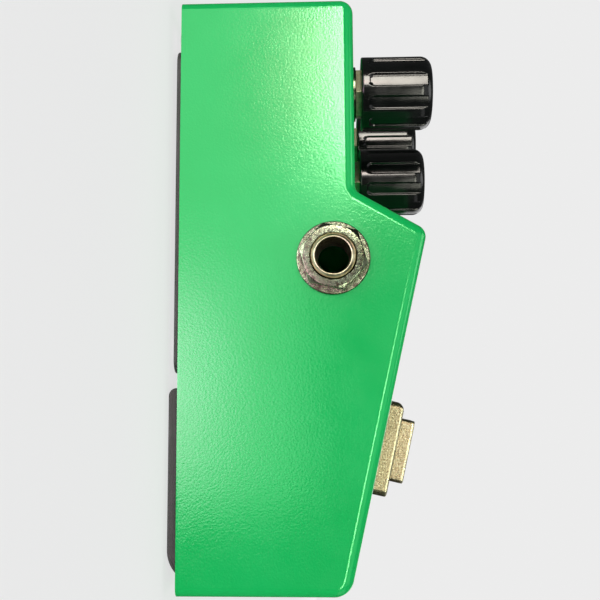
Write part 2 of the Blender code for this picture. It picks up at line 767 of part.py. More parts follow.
def make_control(name, x, y, turn):
    """One potentiometer with its panel hardware, and the knob on its shaft."""
    axis = add_axis(f"{name}_axis", (x, y, DECK_Z), (1, 0, 0), (0, 0, 1))
    knob = add_turned(f"{name}_knob", knob_profile(), axis, "black_plastic", steps=30, turn=turn)
    knob.location.z = KNOB_LIFT
    reach = KNOB_RADIUS - FLUTE_DEPTH + FLUTE_CUT_RADIUS
    centres = [
        (-reach * math.cos(angle), -reach * math.sin(angle))
        for angle in (2 * math.pi * k / FLUTES for k in range(FLUTES))
    ]
    flutes = add_cylinders(
        f"{name}_flutes", FLUTE_CUT_RADIUS, FLUTE_START, KNOB_HEIGHT + MM, centres, parent=axis, sides=24
    )
    flutes.location.z = KNOB_LIFT
    flutes.rotation_euler.z = math.radians(turn)
    cut(knob, flutes)
    shaft_foot = -WALL - POT_HEIGHT + 1.4 * MM
    add_cylinders(
        f"{name}_pot_shaft", SHAFT_RADIUS, shaft_foot, SHAFT_TOP, parent=axis, look="nickel", sides=20
    )
    make_pot_body(name, axis)
    add_nut(f"{name}_pot_nut", POT_NUT_RADIUS, POT_BUSHING_RADIUS, 3.0 * MM, 1.0 * MM, axis, POT_NUT_TURN)
    washer = ring(POT_WASHER_RADIUS, POT_BUSHING_RADIUS + GAP, 0.7 * MM, GAP)
    add_turned(f"{name}_pot_washer", washer, axis, "nickel", steps=20)


def make_pot_body(name, axis):
    """The pot's can, bushing and terminal strip, with a blind bore for the shaft."""
    can_top = -WALL - GAP
    can_bottom = can_top - POT_HEIGHT
    bore = SHAFT_RADIUS + 0.1 * MM
    bore_floor = can_bottom + MM
    profile = [
        (0, bore_floor),
        (bore, bore_floor),
        (bore, POT_BUSHING_TOP),
        (POT_BUSHING_RADIUS, POT_BUSHING_TOP),
        (POT_BUSHING_RADIUS, can_top),
        (POT_RADIUS, can_top),
        (POT_RADIUS, can_bottom),
        (0, can_bottom),
    ]
    body = add_turned(f"{name}_pot_body", profile, axis, "zinc_steel", steps=20)
    strip_z = can_bottom + 1.5 * MM
    strip_front = -POT_RADIUS - POT_STRIP_REACH
    strip = add_box(
        f"{name}_strip",
        (-POT_STRIP_WIDTH / 2, strip_front, strip_z),
        (POT_STRIP_WIDTH / 2, -POT_RADIUS + 2 * MM, strip_z + POT_STRIP_THICKNESS),
        axis,
    )
    join(body, strip)
    pin_foot = BOARD_TOP - DECK_Z
    pin_top = strip_z + POT_STRIP_THICKNESS / 2
    half = 0.4 * MM
    pin_y = strip_front + 1.2 * MM
    pins = [
        ((x - half, pin_y - half, pin_foot), (x + half, pin_y + half, pin_top))
        for x in (-POT_PIN_PITCH, 0, POT_PIN_PITCH)
    ]
    join(body, add_boxes(f"{name}_pins", pins, axis))


def make_lamp():
    axis = add_axis("lamp_axis", (0, LAMP_Y, DECK_Z), (1, 0, 0), (0, 0, 1))
    sleeve = LAMP_SLEEVE_RADIUS
    rim = sleeve + 0.9 * MM
    bore = LAMP_RADIUS + GAP
    top, bottom = 1.5 * MM, -4.7 * MM
    holder = [
        (sleeve, top),
        (rim, top - 0.6 * MM),
        (rim, GAP),
        (sleeve, GAP),
        (sleeve, bottom),
        (bore, bottom),
        (bore, top),
    ]
    add_turned("lamp_holder", holder, axis, "nickel", steps=24)
    dome_steps = 3
    dome_foot = 1.2 * MM
    dome = [
        (LAMP_RADIUS * math.sin(angle), dome_foot + LAMP_RADIUS * math.cos(angle))
        for angle in (math.pi / 2 * k / dome_steps for k in range(dome_steps + 1))
    ]
    foot = -5.0 * MM
    flange = LAMP_RADIUS + 0.4 * MM
    body = [*dome, (LAMP_RADIUS, foot), (flange, foot), (flange, foot - MM), (0, foot - MM)]
    lamp = add_turned("indicator_lamp", body, axis, "red_lens", steps=20)
    half = 0.3 * MM
    lead_end = LAMP_LEAD_END_Z - DECK_Z
    leads = [
        ((x - half, -half, lead_end), (x + half, half, foot - 0.5 * MM))
        for x in (-LEG_PITCH / 2, LEG_PITCH / 2)
    ]
    join(lamp, add_boxes("lamp_leads", leads, axis))


# Circuit board and what stands on it


def make_board():
    low, high = BOARD_Y
    add_plate(
        "circuit_board",
        rectangle(BOARD_HALF_WIDTH, low, high, 1 * MM),
        BOARD_Z,
        BOARD_Z + BOARD_THICKNESS,
        look="board_green",
    )
    make_chip()
    for i, (x, y, radius, height) in enumerate(ELECTROLYTICS):
        edge = 0.4 * MM
        can = [(0, height), (radius - edge, height), (radius, height - edge), (radius, 0), (0, 0)]
        electrolytic = add_turned(f"electrolytic_capacitor_{i + 1}", can, look="capacitor_blue", steps=20)
        electrolytic.location = (x, y, BOARD_TOP)
    half_x, half_y = FILM_SIZE[0] / 2, FILM_SIZE[1] / 2
    for i, (x, y) in enumerate(FILM_PLACES):
        film = add_box(
            f"film_capacitor_{i + 1}",
            (x - half_x, y - half_y, BOARD_TOP),
            (x + half_x, y + half_y, BOARD_TOP + FILM_SIZE[2]),
            look="red_insulation",
        )
        round_edges(film, 0.6 * MM)
    for i, (x, y) in enumerate(TRANSISTOR_PLACES):
        make_transistor(f"buffer_transistor_{i + 1}", x, y)


def make_chip():
    """An eight-legged amplifier chip."""
    half_x, half_y = CHIP_SIZE[0] / 2, CHIP_SIZE[1] / 2
    low = BOARD_TOP + 0.8 * MM
    chip = add_box(
        "opamp_chip",
        (-half_x, CHIP_Y - half_y, low),
        (half_x, CHIP_Y + half_y, low + CHIP_SIZE[2]),
        look="black_plastic",
    )
    half_leg = 0.5 * MM
    leg_top = low + CHIP_SIZE[2] / 2
    legs = []
    for column in range(4):
        x = (column - 1.5) * LEG_PITCH
        for side in (-1, 1):
            near, far = sorted((side * (half_y - 0.5 * MM), side * (half_y + 0.6 * MM)))
            legs.append(
                ((x - half_leg, CHIP_Y + near, BOARD_TOP), (x + half_leg, CHIP_Y + far, leg_top))
            )
    join(chip, add_boxes("chip_legs", legs))


def make_transistor(name, x, y):
    """A half-round plastic case on three legs."""
    low = BOARD_TOP + 2 * MM
    high = low + TRANSISTOR_HEIGHT
    case = add_cylinders(name, TRANSISTOR_RADIUS, low, high, [(x, y)], look="black_plastic", sides=20)
    reach = 2 * TRANSISTOR_RADIUS
    flat_y = y - 1.3 * MM
    cut(
        case,
        add_box(f"{name}_flat", (x - reach, y - reach, low - MM), (x + reach, flat_y, high + MM)),
    )
    half = 0.25 * MM
    legs = [
        ((x + offset - half, y - half, BOARD_TOP), (x + offset + half, y + half, low + 0.5 * MM))
        for offset in (-LEG_PITCH / 2, 0, LEG_PITCH / 2)
    ]
    join(case, add_boxes(f"{name}_legs", legs))


# Quarter-inch jacks: local X is towards the front of the pedal, local Z is out of the side face


def make_jack(side, axis):
    """One jack: its threaded sleeve on a folded frame, the tip contact, and the nut and washer outside."""
    frame = add_turned(
        f"{side}_jack_frame",
        [
            (JACK_THREAD_RADIUS - 0.4 * MM, JACK_MOUTH),
            (JACK_THREAD_RADIUS, JACK_MOUTH - 0.4 * MM),
            (JACK_THREAD_RADIUS, JACK_SLEEVE_END),
            (JACK_BORE_RADIUS, JACK_SLEEVE_END),
            (JACK_BORE_RADIUS, JACK_MOUTH - 0.5 * MM),
            (JACK_MOUTH_RADIUS, JACK_MOUTH),
        ],
        axis,
        "nickel",
        steps=24,
    )
    arm_near, arm_far = JACK_ARM_X
    half = JACK_FLANGE_HALF
    top = -WALL - GAP
    bottom = top - JACK_FLANGE_THICKNESS
    flange = add_box(f"{side}_flange", (-half, -half, bottom), (arm_far, half, top), axis)
    inside = JACK_THREAD_RADIUS - GAP
    cut(flange, add_cylinders(f"{side}_flange_hole", inside, bottom - MM, top + MM, parent=axis))
    join(frame, flange)
    half = JACK_ARM_HALF_WIDTH
    arm = add_box(f"{side}_arm", (arm_near, -half, JACK_ARM_END), (arm_far, half, top - GAP), axis)
    join(frame, arm)
    half -= 0.5 * MM
    foot = JACK_ARM_END + GAP
    add_box(
        f"{side}_contact_insulator",
        (LEAF_X + LEAF_THICKNESS + GAP, -half, foot),
        (arm_near - GAP, half, foot + 6.7 * MM),
        axis,
        "phenolic",
    )
    make_leaf(side, axis)
    chamfered_nut(f"{side}_jack_nut", axis)
    washer = ring(JACK_WASHER_RADIUS, JACK_THREAD_RADIUS + GAP, MM, GAP)
    add_turned(f"{side}_jack_washer", washer, axis, "nickel", steps=24)


def make_leaf(side, axis):
    """The tip contact: a strip beside the bore, bent in to the plug's tip at its inner end."""
    line = [
        (LEAF_X, -4.9 * MM),
        (LEAF_X, -17.5 * MM),
        (1.4 * MM, -23 * MM),
        (3.2 * MM, -26 * MM),
    ]
    outline = line + [(x + LEAF_THICKNESS, z) for x, z in reversed(line)]
    half = LEAF_WIDTH / 2
    leaf = add_plate(f"{side}_tip_contact", outline, -half, half, look="brass")
    leaf.parent = axis
    leaf.rotation_euler.x = math.pi / 2


def chamfered_nut(name, axis):
    """A hex nut whose outer face is chamfered to a circle."""
    low, high = 1.3 * MM, 3.6 * MM
    chamfer = 0.45 * MM
    across_flats = JACK_NUT_RADIUS * math.cos(math.pi / 6)
    nut = add_nut(name, JACK_NUT_RADIUS, JACK_THREAD_RADIUS, high, low, axis, JACK_NUT_TURN)
    spread = JACK_NUT_RADIUS - across_flats + 0.3 * MM
    envelope = add_turned(
        f"{name}_envelope",
        [
            (0, high + 0.01 * MM),
            (across_flats, high + 0.01 * MM),
            (across_flats + spread, high - chamfer - 0.2 * MM),
            (across_flats + spread, low - MM),
            (0, low - MM),
        ],
        axis,
        steps=36,
    )
    return combine(nut, envelope, "INTERSECT")


def make_inlet():
    """The DC inlet: a moulded block on the board with a collar in the rear wall and a pin in its bore."""
    front = -WALL - GAP
    inlet = add_box(
        "dc_inlet",
        (-INLET_HALF_WIDTH, -INLET_HALF_HEIGHT, front - INLET_DEPTH),
        (INLET_HALF_WIDTH, INLET_HALF_HEIGHT, front),
        INLET_AXIS,
        "black_plastic",
    )
    collar = add_cylinders("inlet_collar", INLET_COLLAR_RADIUS, front - MM, -GAP, parent=INLET_AXIS)
    join(inlet, collar)
    bore = add_cylinders("inlet_bore", INLET_BORE_RADIUS, INLET_BORE_END, MM, parent=INLET_AXIS, sides=20)
    cut(inlet, bore)
    pin = add_cylinders("inlet_pin", MM, INLET_BORE_END - MM, -1.5 * MM, parent=INLET_AXIS, sides=12)
    join(inlet, pin)


# Footswitch: local Z is out of the slope


def square(size, radius):
    return rectangle(size / 2, -size / 2, size / 2, radius)


def make_footswitch():
    make_bezel()
    make_button()
    make_spring()
    add_nut("footswitch_nut", PANEL_NUT_RADIUS, SHANK_RADIUS, -3.6 * MM, -5.6 * MM, SLOPE_AXIS)
    make_bracket()
    make_switch()


def make_bezel():
    """The square bezel, with a threaded shank through the slope."""
    outline = square(BEZEL_SIZE, 1.6 * MM)
    bezel = add_plate("footswitch_bezel", outline, GAP, BEZEL_HEIGHT, SLOPE_AXIS, "satin_nickel")
    round_edges(bezel, 0.6 * MM)
    join(bezel, add_cylinders("shank", SHANK_RADIUS, SHANK_END, BEZEL_FLOOR, parent=SLOPE_AXIS, sides=32))
    window = square(BUTTON_SIZE + 2 * GAP, 1.3 * MM)
    cut(bezel, add_plate("window", window, BEZEL_FLOOR, BEZEL_HEIGHT + MM, SLOPE_AXIS))
    bore = STEM_RADIUS + GAP
    cut(bezel, add_cylinders("stem_bore", bore, SHANK_END - MM, BEZEL_FLOOR + MM, parent=SLOPE_AXIS))


def make_button():
    """The square button on its round stem, hollow below for the spring."""
    outline = square(BUTTON_SIZE, 1.0 * MM)
    button = add_plate(
        "footswitch_button", outline, BUTTON_BOTTOM, BUTTON_HEIGHT, SLOPE_AXIS, "satin_nickel"
    )
    round_edges(button, 0.4 * MM)
    pocket = add_cylinders(
        "spring_pocket", POCKET_RADIUS, BUTTON_BOTTOM - MM, POCKET_TOP, parent=SLOPE_AXIS
    )
    cut(button, pocket)
    join(button, add_cylinders("stem", STEM_RADIUS, STEM_END, POCKET_TOP + 0.5 * MM, parent=SLOPE_AXIS))


def make_spring():
    """The return spring round the stem, between the bezel's floor and the button's pocket."""
    wire = SPRING_WIRE / 2
    low, high = BEZEL_FLOOR + GAP + wire, POCKET_TOP - GAP - wire
    steps = 10 * SPRING_TURNS
    coil = []
    for k in range(steps + 1):
        turn = 2 * math.pi * SPRING_TURNS * k / steps
        height = low + (high - low) * k / steps
        coil.append((SPRING_RADIUS * math.cos(turn), SPRING_RADIUS * math.sin(turn), height))
    add_wire("footswitch_spring", coil, wire, "nickel", SLOPE_AXIS)


def make_bracket():
    """A folded steel cradle, clamped under the panel by the nut, that carries the electrical switch."""
    half_x, thick = 6.5 * MM, 0.8 * MM
    leg_y = 10.5 * MM
    top, bottom = -2.5 * MM, -17.0 * MM
    bracket = add_box(
        "switch_bracket", (-half_x, -leg_y, top - thick), (half_x, leg_y, top), SLOPE_AXIS, "zinc_steel"
    )
    overlap = 0.01 * MM
    legs = [
        ((-half_x, -leg_y - thick, bottom), (half_x, -leg_y + overlap, top)),
        ((-half_x, leg_y - overlap, bottom), (half_x, leg_y + thick, top)),
    ]
    join(bracket, add_boxes("bracket_legs", legs, SLOPE_AXIS))
    foot_y = leg_y + thick / 2
    foot = add_box(
        "bracket_foot", (-half_x, -foot_y, bottom), (half_x, foot_y, bottom + thick), SLOPE_AXIS
    )
    join(bracket, foot)
    bore = SHANK_RADIUS + GAP
    cut(bracket, add_cylinders("bracket_hole", bore, top - 2 * MM, top + MM, parent=SLOPE_AXIS))


def make_switch():
    """The electrical switch in the cradle, and the plunger that the button's stem pushes."""
    body = add_box(
        "switch_body",
        (-SWITCH_HALF, -SWITCH_HALF, SWITCH_BOTTOM),
        (SWITCH_HALF, SWITCH_HALF, SWITCH_TOP),
        SLOPE_AXIS,
        "black_plastic",
    )
    bore_floor = SWITCH_BOTTOM + 0.6 * MM
    bore = add_cylinders(
        "plunger_bore", PLUNGER_RADIUS + GAP, bore_floor, SWITCH_TOP + MM, parent=SLOPE_AXIS
    )
    cut(body, bore)
    add_cylinders(
        "switch_plunger",
        PLUNGER_RADIUS,
        SWITCH_TOP - 3 * MM,
        STEM_END - GAP,
        parent=SLOPE_AXIS,
        look="phenolic",
        sides=16,
    )


def shade_round():
    """Smooth shading with sharp edges kept, on every mesh."""
    for obj in PARTS.objects:
        if obj.type == "MESH":
            obj.data.shade_smooth()
            obj.data.set_sharp_from_angle(angle=math.radians(35))


make_housing()
make_base()
make_door()
make_battery()
make_tray()
make_leads()
for control in CONTROLS:
    make_control(*control)
make_lamp()
make_board()
for jack_side, jack_axis in JACK_AXES.items():
    make_jack(jack_side, jack_axis)
make_inlet()
make_footswitch()
shade_round()
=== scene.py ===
"""The looks of the effects pedal: fine surfaces, materials, lights, floor and camera round the CAD model.

Lengths are in metres, written as millimetres * MM. Fine pieces stand for CAD nodes of the same shape and
size, without the clearance gaps that the solids need.
"""

import math

import bmesh
import bpy
from mathutils import Matrix, Vector


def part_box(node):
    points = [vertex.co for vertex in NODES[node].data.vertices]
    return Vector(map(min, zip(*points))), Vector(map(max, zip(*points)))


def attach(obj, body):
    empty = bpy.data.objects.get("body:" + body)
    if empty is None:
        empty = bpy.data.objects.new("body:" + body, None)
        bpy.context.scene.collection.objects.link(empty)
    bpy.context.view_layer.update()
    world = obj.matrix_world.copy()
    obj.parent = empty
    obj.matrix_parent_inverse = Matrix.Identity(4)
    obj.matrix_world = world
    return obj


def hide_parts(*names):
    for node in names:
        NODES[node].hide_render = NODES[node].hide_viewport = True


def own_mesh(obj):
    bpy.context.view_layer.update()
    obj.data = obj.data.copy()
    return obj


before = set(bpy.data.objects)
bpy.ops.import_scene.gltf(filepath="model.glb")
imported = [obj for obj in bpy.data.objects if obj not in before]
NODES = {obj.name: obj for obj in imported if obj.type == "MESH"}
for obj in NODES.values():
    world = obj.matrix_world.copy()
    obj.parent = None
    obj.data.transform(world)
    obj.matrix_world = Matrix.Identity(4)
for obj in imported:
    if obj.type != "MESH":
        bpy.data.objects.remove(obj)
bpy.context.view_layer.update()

MM = 0.001

# Housing, as in the CAD
SHELL_LOW, SHELL_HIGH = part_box("enclosure_shell")
HALF_WIDTH = SHELL_HIGH.x
HALF_LENGTH = SHELL_HIGH.y
BASE_Z = SHELL_LOW.z
WALL = 2.2 * MM
FRONT_TOP_Z = 37.5 * MM
BROW_Y, BROW_Z = 12.1 * MM, 54.0 * MM
NOTCH_Y, NOTCH_Z = 20.6 * MM, 39.15 * MM
DECK_Z = 38.95 * MM
SIDE_FILLET = 2.2 * MM
FRONT_RADIUS, BROW_RADIUS = 4.0 * MM, 2.6 * MM
NOTCH_RADIUS, REAR_RADIUS = 2.0 * MM, 2.8 * MM
BASE_ROUNDING = 0.6 * MM
SLOPE = math.atan2(BROW_Z - FRONT_TOP_Z, BROW_Y + HALF_LENGTH)

# Controls: name -> turn of the knob at rest, in degrees. At 0 a rib faces straight back.
CONTROL_TURNS = {"drive": -4.5, "tone": -12.0, "level": 4.5}
KNOB_RADIUS = 8.1 * MM
KNOB_EDGE = 2.6 * MM
FLUTES = 10
FLUTE_HALF_WIDTH = 1.55 * MM
FLUTE_DEPTH = 0.45 * MM
FLUTE_WALL = 0.34 * MM  # width of the eased wall
FLUTE_START = 1.7 * MM  # above the knob's underside
FLUTE_END_LENGTH = 1.3 * MM  # of the rounded lower end
POT_NUT_RADIUS = 5.77 * MM
POT_NUT_TURN = 12.0

# Jacks, outwards from the side face
JACK_Z = 34.5 * MM
JACK_Y = 6.1 * MM
JACK_BORE_RADIUS = 3.25 * MM
JACK_THREAD_RADIUS = 4.55 * MM
JACK_MOUTH_RADIUS = 3.65 * MM
JACK_MOUTH = 4.4 * MM
JACK_SLEEVE_END = -4.1 * MM
JACK_NUT_RADIUS = 12.5 * MM / math.sqrt(3)
JACK_NUT_TURN = 17.2
JACK_NUT_LOW, JACK_NUT_HIGH = 1.0 * MM, 3.6 * MM
JACK_WASHER_RADIUS = 7.6 * MM
JACK_WASHER_HEIGHT = 1.0 * MM

# Footswitch, measured from the slope's surface along its normal
SWITCH_ALONG = 29.3 * MM
BEZEL_SIZE, BEZEL_HEIGHT = 21.6 * MM, 4.5 * MM
BUTTON_SIZE, BUTTON_HEIGHT = 14.6 * MM, 7.8 * MM
BUTTON_BOTTOM = 3.5 * MM
BEZEL_FLOOR = 0.9 * MM

# DC inlet and lamp
INLET_Z = 24.2 * MM
LAMP_Y = 50.3 * MM
LAMP_RADIUS = 2.5 * MM

# Camera
CAMERA_PLACE = (-216.97 * MM, -22.21 * MM, 35.06 * MM)
CAMERA_TURN = (10.31, -87.63, -4.13)  # degrees about X, Y and Z
CAMERA_LENS = 53.69  # mm, with a sensor 36 mm wide


# Frames that pieces are modelled in


def axes(location, x_axis, z_axis):
    """The matrix of a frame at location whose local X and Z point these ways."""
    x, z = Vector(x_axis).normalized(), Vector(z_axis).normalized()
    turn = Matrix((x, z.cross(x), z)).transposed()
    return Matrix.Translation(location) @ turn.to_4x4()


def slope_point(along):
    """The point this far up the slope from its sharp front edge."""
    return Vector((0, -HALF_LENGTH + along * math.cos(SLOPE), FRONT_TOP_Z + along * math.sin(SLOPE)))


def control_frame(name):
    """On the deck, under the middle of one knob, turned as the knob is."""
    low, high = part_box(f"{name}_pot_shaft")
    centre = (low + high) / 2
    turn = Matrix.Rotation(math.radians(CONTROL_TURNS[name]), 4, "Z")
    return Matrix.Translation((centre.x, centre.y, DECK_Z)) @ turn


WORLD_FRAME = Matrix.Identity(4)
PROFILE_FRAME = axes((0, 0, 0), (0, 1, 0), (1, 0, 0))
SLOPE_FRAME = axes(slope_point(SWITCH_ALONG), (1, 0, 0), (0, -math.sin(SLOPE), math.cos(SLOPE)))
JACK_FRAMES = {
    "output": axes((-HALF_WIDTH, JACK_Y, JACK_Z), (0, -1, 0), (-1, 0, 0)),
    "input": axes((HALF_WIDTH, JACK_Y, JACK_Z), (0, -1, 0), (1, 0, 0)),
}
INLET_FRAME = axes((0, HALF_LENGTH, INLET_Z), (1, 0, 0), (0, 1, 0))
LAMP_FRAME = Matrix.Translation((0, LAMP_Y, DECK_Z))


# Modelling helpers


def add_object(name, mesh, place=WORLD_FRAME):
    obj = bpy.data.objects.new(name, mesh)
    bpy.context.scene.collection.objects.link(obj)
    obj.matrix_world = place
    return obj


def object_from(name, bm, place=WORLD_FRAME):
    bmesh.ops.recalc_face_normals(bm, faces=bm.faces)
    mesh = bpy.data.meshes.new(name)
    bm.to_mesh(mesh)
    bm.free()
    return add_object(name, mesh, place)


def rounded(corners, arc_steps=10):
    """The outline through (x, y, radius) corners, with each corner an arc."""
    outline = []
    count = len(corners)
    for i, (x, y, radius) in enumerate(corners):
        here = Vector((x, y))
        if radius <= 0:
            outline.append(here)
            continue
        to_last = (Vector(corners[i - 1][:2]) - here).normalized()
        to_next = (Vector(corners[(i + 1) % count][:2]) - here).normalized()
        half = to_last.angle(to_next) / 2
        centre = here + (to_last + to_next).normalized() * radius / math.sin(half)
        start = here + to_last * radius / math.tan(half) - centre
        end = here + to_next * radius / math.tan(half) - centre
        sweep = math.atan2(start.cross(end), start.dot(end))
        for step in range(arc_steps + 1):
            outline.append(centre + Matrix.Rotation(sweep * step / arc_steps, 2) @ start)
    return outline


def rectangle(half_x, low_y, high_y, radius):
    corners = ((-half_x, low_y), (half_x, low_y), (half_x, high_y), (-half_x, high_y))
    return rounded([(*corner, radius) for corner in corners])


def square(size, radius):
    return rectangle(size / 2, -size / 2, size / 2, radius)


def circle(radius, steps=64):
    return [
        (radius * math.cos(2 * math.pi * k / steps), radius * math.sin(2 * math.pi * k / steps))
        for k in range(steps)
    ]


def join_rings(bm, upper, lower):
    """Faces between two rings of points, one of which may be a single point."""
    for k in range(max(len(upper), len(lower))):
        corners = (
            upper[k % len(upper)],
            upper[(k + 1) % len(upper)],
            lower[(k + 1) % len(lower)],
            lower[k % len(lower)],
        )
        bm.faces.new(list(dict.fromkeys(corners)))


def add_prism(name, outline, low, high, place=WORLD_FRAME, centre=(0, 0)):
    """A flat outline between two heights."""
    bm = bmesh.new()
    rings = []
    for z in (low, high):
        rings.append([bm.verts.new((centre[0] + x, centre[1] + y, z)) for x, y in outline])
    for ring in rings:
        bm.faces.new(ring)
    join_rings(bm, *rings)
    return object_from(name, bm, place)


def add_turned(name, profile, place=WORLD_FRAME, steps=96, centre=(0, 0)):
    """A profile of (radius, height) turned about local Z.

    A profile that starts and ends on the axis makes a solid, and any other is closed into a ring.
    """
    bm = bmesh.new()
    columns = []
    for radius, height in profile:
        if radius <= 0:
            columns.append([bm.verts.new((*centre, height))])
            continue
        columns.append(
            [
                bm.verts.new((centre[0] + radius * x, centre[1] + radius * y, height))
                for x, y in circle(1.0, steps)
            ]
        )
    pairs = list(zip(columns, columns[1:]))
    if profile[0][0] > 0:
        pairs.append((columns[-1], columns[0]))
    for upper, lower in pairs:
        join_rings(bm, upper, lower)
    return object_from(name, bm, place)


def apply_modifiers(obj):
    shape = obj.evaluated_get(bpy.context.evaluated_depsgraph_get())
    mesh = bpy.data.meshes.new_from_object(shape)
    obj.modifiers.clear()
    obj.data = mesh
    mesh.name = obj.name
    return obj


def combine(obj, operation, *others):
    """Booleans on obj with other objects, which are used up."""
    for other in others:
        boolean = obj.modifiers.new(other.name, "BOOLEAN")
        boolean.operation = operation
        boolean.object = other
    bpy.context.view_layer.update()
    apply_modifiers(obj)
    for other in others:
        bpy.data.objects.remove(other)
    return obj


def cut(obj, *others):
    return combine(obj, "DIFFERENCE", *others)


def join(obj, *others):
    return combine(obj, "UNION", *others)


def settle(obj):
    """Writes the piece's place into its mesh, so that its textures run along the world's axes."""
    obj.data.transform(obj.matrix_world)
    obj.matrix_world = WORLD_FRAME
    return obj


def round_edges(obj, width, segments=3, angle=30):
    bevel = obj.modifiers.new("round", "BEVEL")
    bevel.width = width
    bevel.segments = segments
    bevel.limit_method = "ANGLE"
    bevel.angle_limit = math.radians(angle)
    bevel.use_clamp_overlap = False
    return obj


def shade(obj, angle=35):
    """Smooth shading that keeps large flat faces flat, and edges of more than angle degrees sharp."""
    obj.data.shade_smooth()
    obj.data.set_sharp_from_angle(angle=math.radians(angle))
    weighted = obj.modifiers.new("even_normals", "WEIGHTED_NORMAL")
    weighted.keep_sharp = True
    return obj


def place_piece(obj, body, look, slot, *nodes):
    """Gives a finished piece its material and body, in place of these CAD nodes."""
    obj.data.materials.clear()
    obj.data.materials.append(look)
    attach(obj, body)
    if nodes:
        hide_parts(*nodes)
    return obj


# Shader nodes


def feed(tree, socket, value):
    """Links a socket to this one, or gives it a plain value."""
    if isinstance(value, bpy.types.NodeSocket):
        tree.links.new(value, socket)
    else:
        socket.default_value = value


def math_node(tree, operation, first, second=0.0):
    node = tree.nodes.new("ShaderNodeMath")
    node.operation = operation
    feed(tree, node.inputs[0], first)
    feed(tree, node.inputs[1], second)
    return node.outputs[0]


def ramp_node(tree, value, low, high, start=0.0, end=1.0, easing="LINEAR"):
    """Maps low..high of a value to start..end."""
    node = tree.nodes.new("ShaderNodeMapRange")
    node.interpolation_type = easing
    sockets = ("Value", "From Min", "From Max", "To Min", "To Max")
    for socket, number in zip(sockets, (value, low, high, start, end)):
        feed(tree, node.inputs[socket], number)
    return node.outputs["Result"]


def mix_node(tree, factor, first, second):
    """The first colour where factor is 0 and the second where it is 1. Either may be a socket."""
    node = tree.nodes.new("ShaderNodeMix")
    node.data_type = "RGBA"
    tree.links.new(factor, node.inputs["Factor"])
    for socket, colour in ((node.inputs[6], first), (node.inputs[7], second)):
        feed(tree, socket, colour if isinstance(colour, bpy.types.NodeSocket) else (*colour, 1))
    return node.outputs[2]


def split_node(tree, vector):
    """The outputs X, Y and Z of a vector."""
    node = tree.nodes.new("ShaderNodeSeparateXYZ")
    tree.links.new(vector, node.inputs["Vector"])
    return node.outputs


# Materials


class Look:
    """One procedural material, made of textures in the piece's own coordinates, in metres.

    Its plain colour and roughness are for viewers that don't run the nodes.
    """

    def __init__(self, name, colour, roughness, metallic=0.0):
        self.material = bpy.data.materials.new(name)
        self.material.use_nodes = True
        self.tree = self.material.node_tree
        self.shader = self.tree.nodes["Principled BSDF"]
        self.set("Base Color", (*colour, 1))
        self.set("Roughness", roughness)
        self.set("Metallic", metallic)
        self.place = self.tree.nodes.new("ShaderNodeTexCoord").outputs["Object"]
        self.normal = None

    def set(self, socket, value):
        feed(self.tree, self.shader.inputs[socket], value)

    def texture(self, kind, size, stretch):
        """A texture with features about this size, longest along the axis with the smallest stretch."""
        mapping = self.tree.nodes.new("ShaderNodeMapping")
        mapping.inputs["Scale"].default_value = stretch
        self.tree.links.new(self.place, mapping.inputs["Vector"])
        texture = self.tree.nodes.new(kind)
        texture.inputs["Scale"].default_value = 1 / size
        self.tree.links.new(mapping.outputs["Vector"], texture.inputs["Vector"])
        return texture

    def noise(self, size, detail=3.0, stretch=(1, 1, 1)):
        texture = self.texture("ShaderNodeTexNoise", size, stretch)
        texture.inputs["Detail"].default_value = detail
        return texture.outputs["Fac"]

    def cells(self, size, feature="F1", stretch=(1, 1, 1)):
        texture = self.texture("ShaderNodeTexVoronoi", size, stretch)
        texture.feature = feature
        return texture.outputs["Distance"]

    def ramp(self, value, low, high, start=0.0, end=1.0):
        return ramp_node(self.tree, value, low, high, start, end)

    def mottle(self, value, low, high, first, second, share=1.0):
        """From the first colour to this share of the second, as value goes from low to high."""
        return mix_node(self.tree, self.ramp(value, low, high, 0, share), first, second)

    def rim(self, size, top, width):
        """1 in a band this wide along the upper edges of a square block, and 0 elsewhere."""
        place = split_node(self.tree, self.place)
        from_middle = [math_node(self.tree, "ABSOLUTE", place[axis]) for axis in ("X", "Y")]
        across = math_node(self.tree, "MAXIMUM", *from_middle)
        outward = self.ramp(across, size / 2 - 1.4 * width, size / 2 - width)
        upward = self.ramp(place["Z"], top - 1.4 * width, top - width)
        return math_node(self.tree, "MULTIPLY", outward, upward)

    def colour(self, value):
        self.set("Base Color", value)

    def roughness(self, value):
        self.set("Roughness", value)

    def bump(self, height, depth):
        """Adds relief of this depth to what is there already."""
        node = self.tree.nodes.new("ShaderNodeBump")
        node.inputs["Distance"].default_value = depth
        node.inputs["Strength"].default_value = 1.0
        self.tree.links.new(height, node.inputs["Height"])
        if self.normal:
            self.tree.links.new(self.normal, node.inputs["Normal"])
        self.normal = node.outputs["Normal"]
        self.set("Normal", self.normal)


def green_paint():
    """Gloss paint with fine orange peel, a slow drift of shade and lighter flecks."""
    look = Look("green_paint", (0.009, 0.58, 0.12), 0.16, 0.1)
    base = look.mottle(look.noise(24 * MM, 2), 0.3, 0.7, (0.008, 0.58, 0.122), (0.011, 0.61, 0.138))
    look.colour(look.mottle(look.noise(0.5 * MM, 2), 0.62, 0.8, base, (0.04, 0.7, 0.2), 0.3))
    look.roughness(look.ramp(look.noise(6 * MM, 4), 0.3, 0.7, 0.11, 0.15))
    look.bump(look.noise(0.42 * MM, 1), 0.017 * MM)
    return look.material


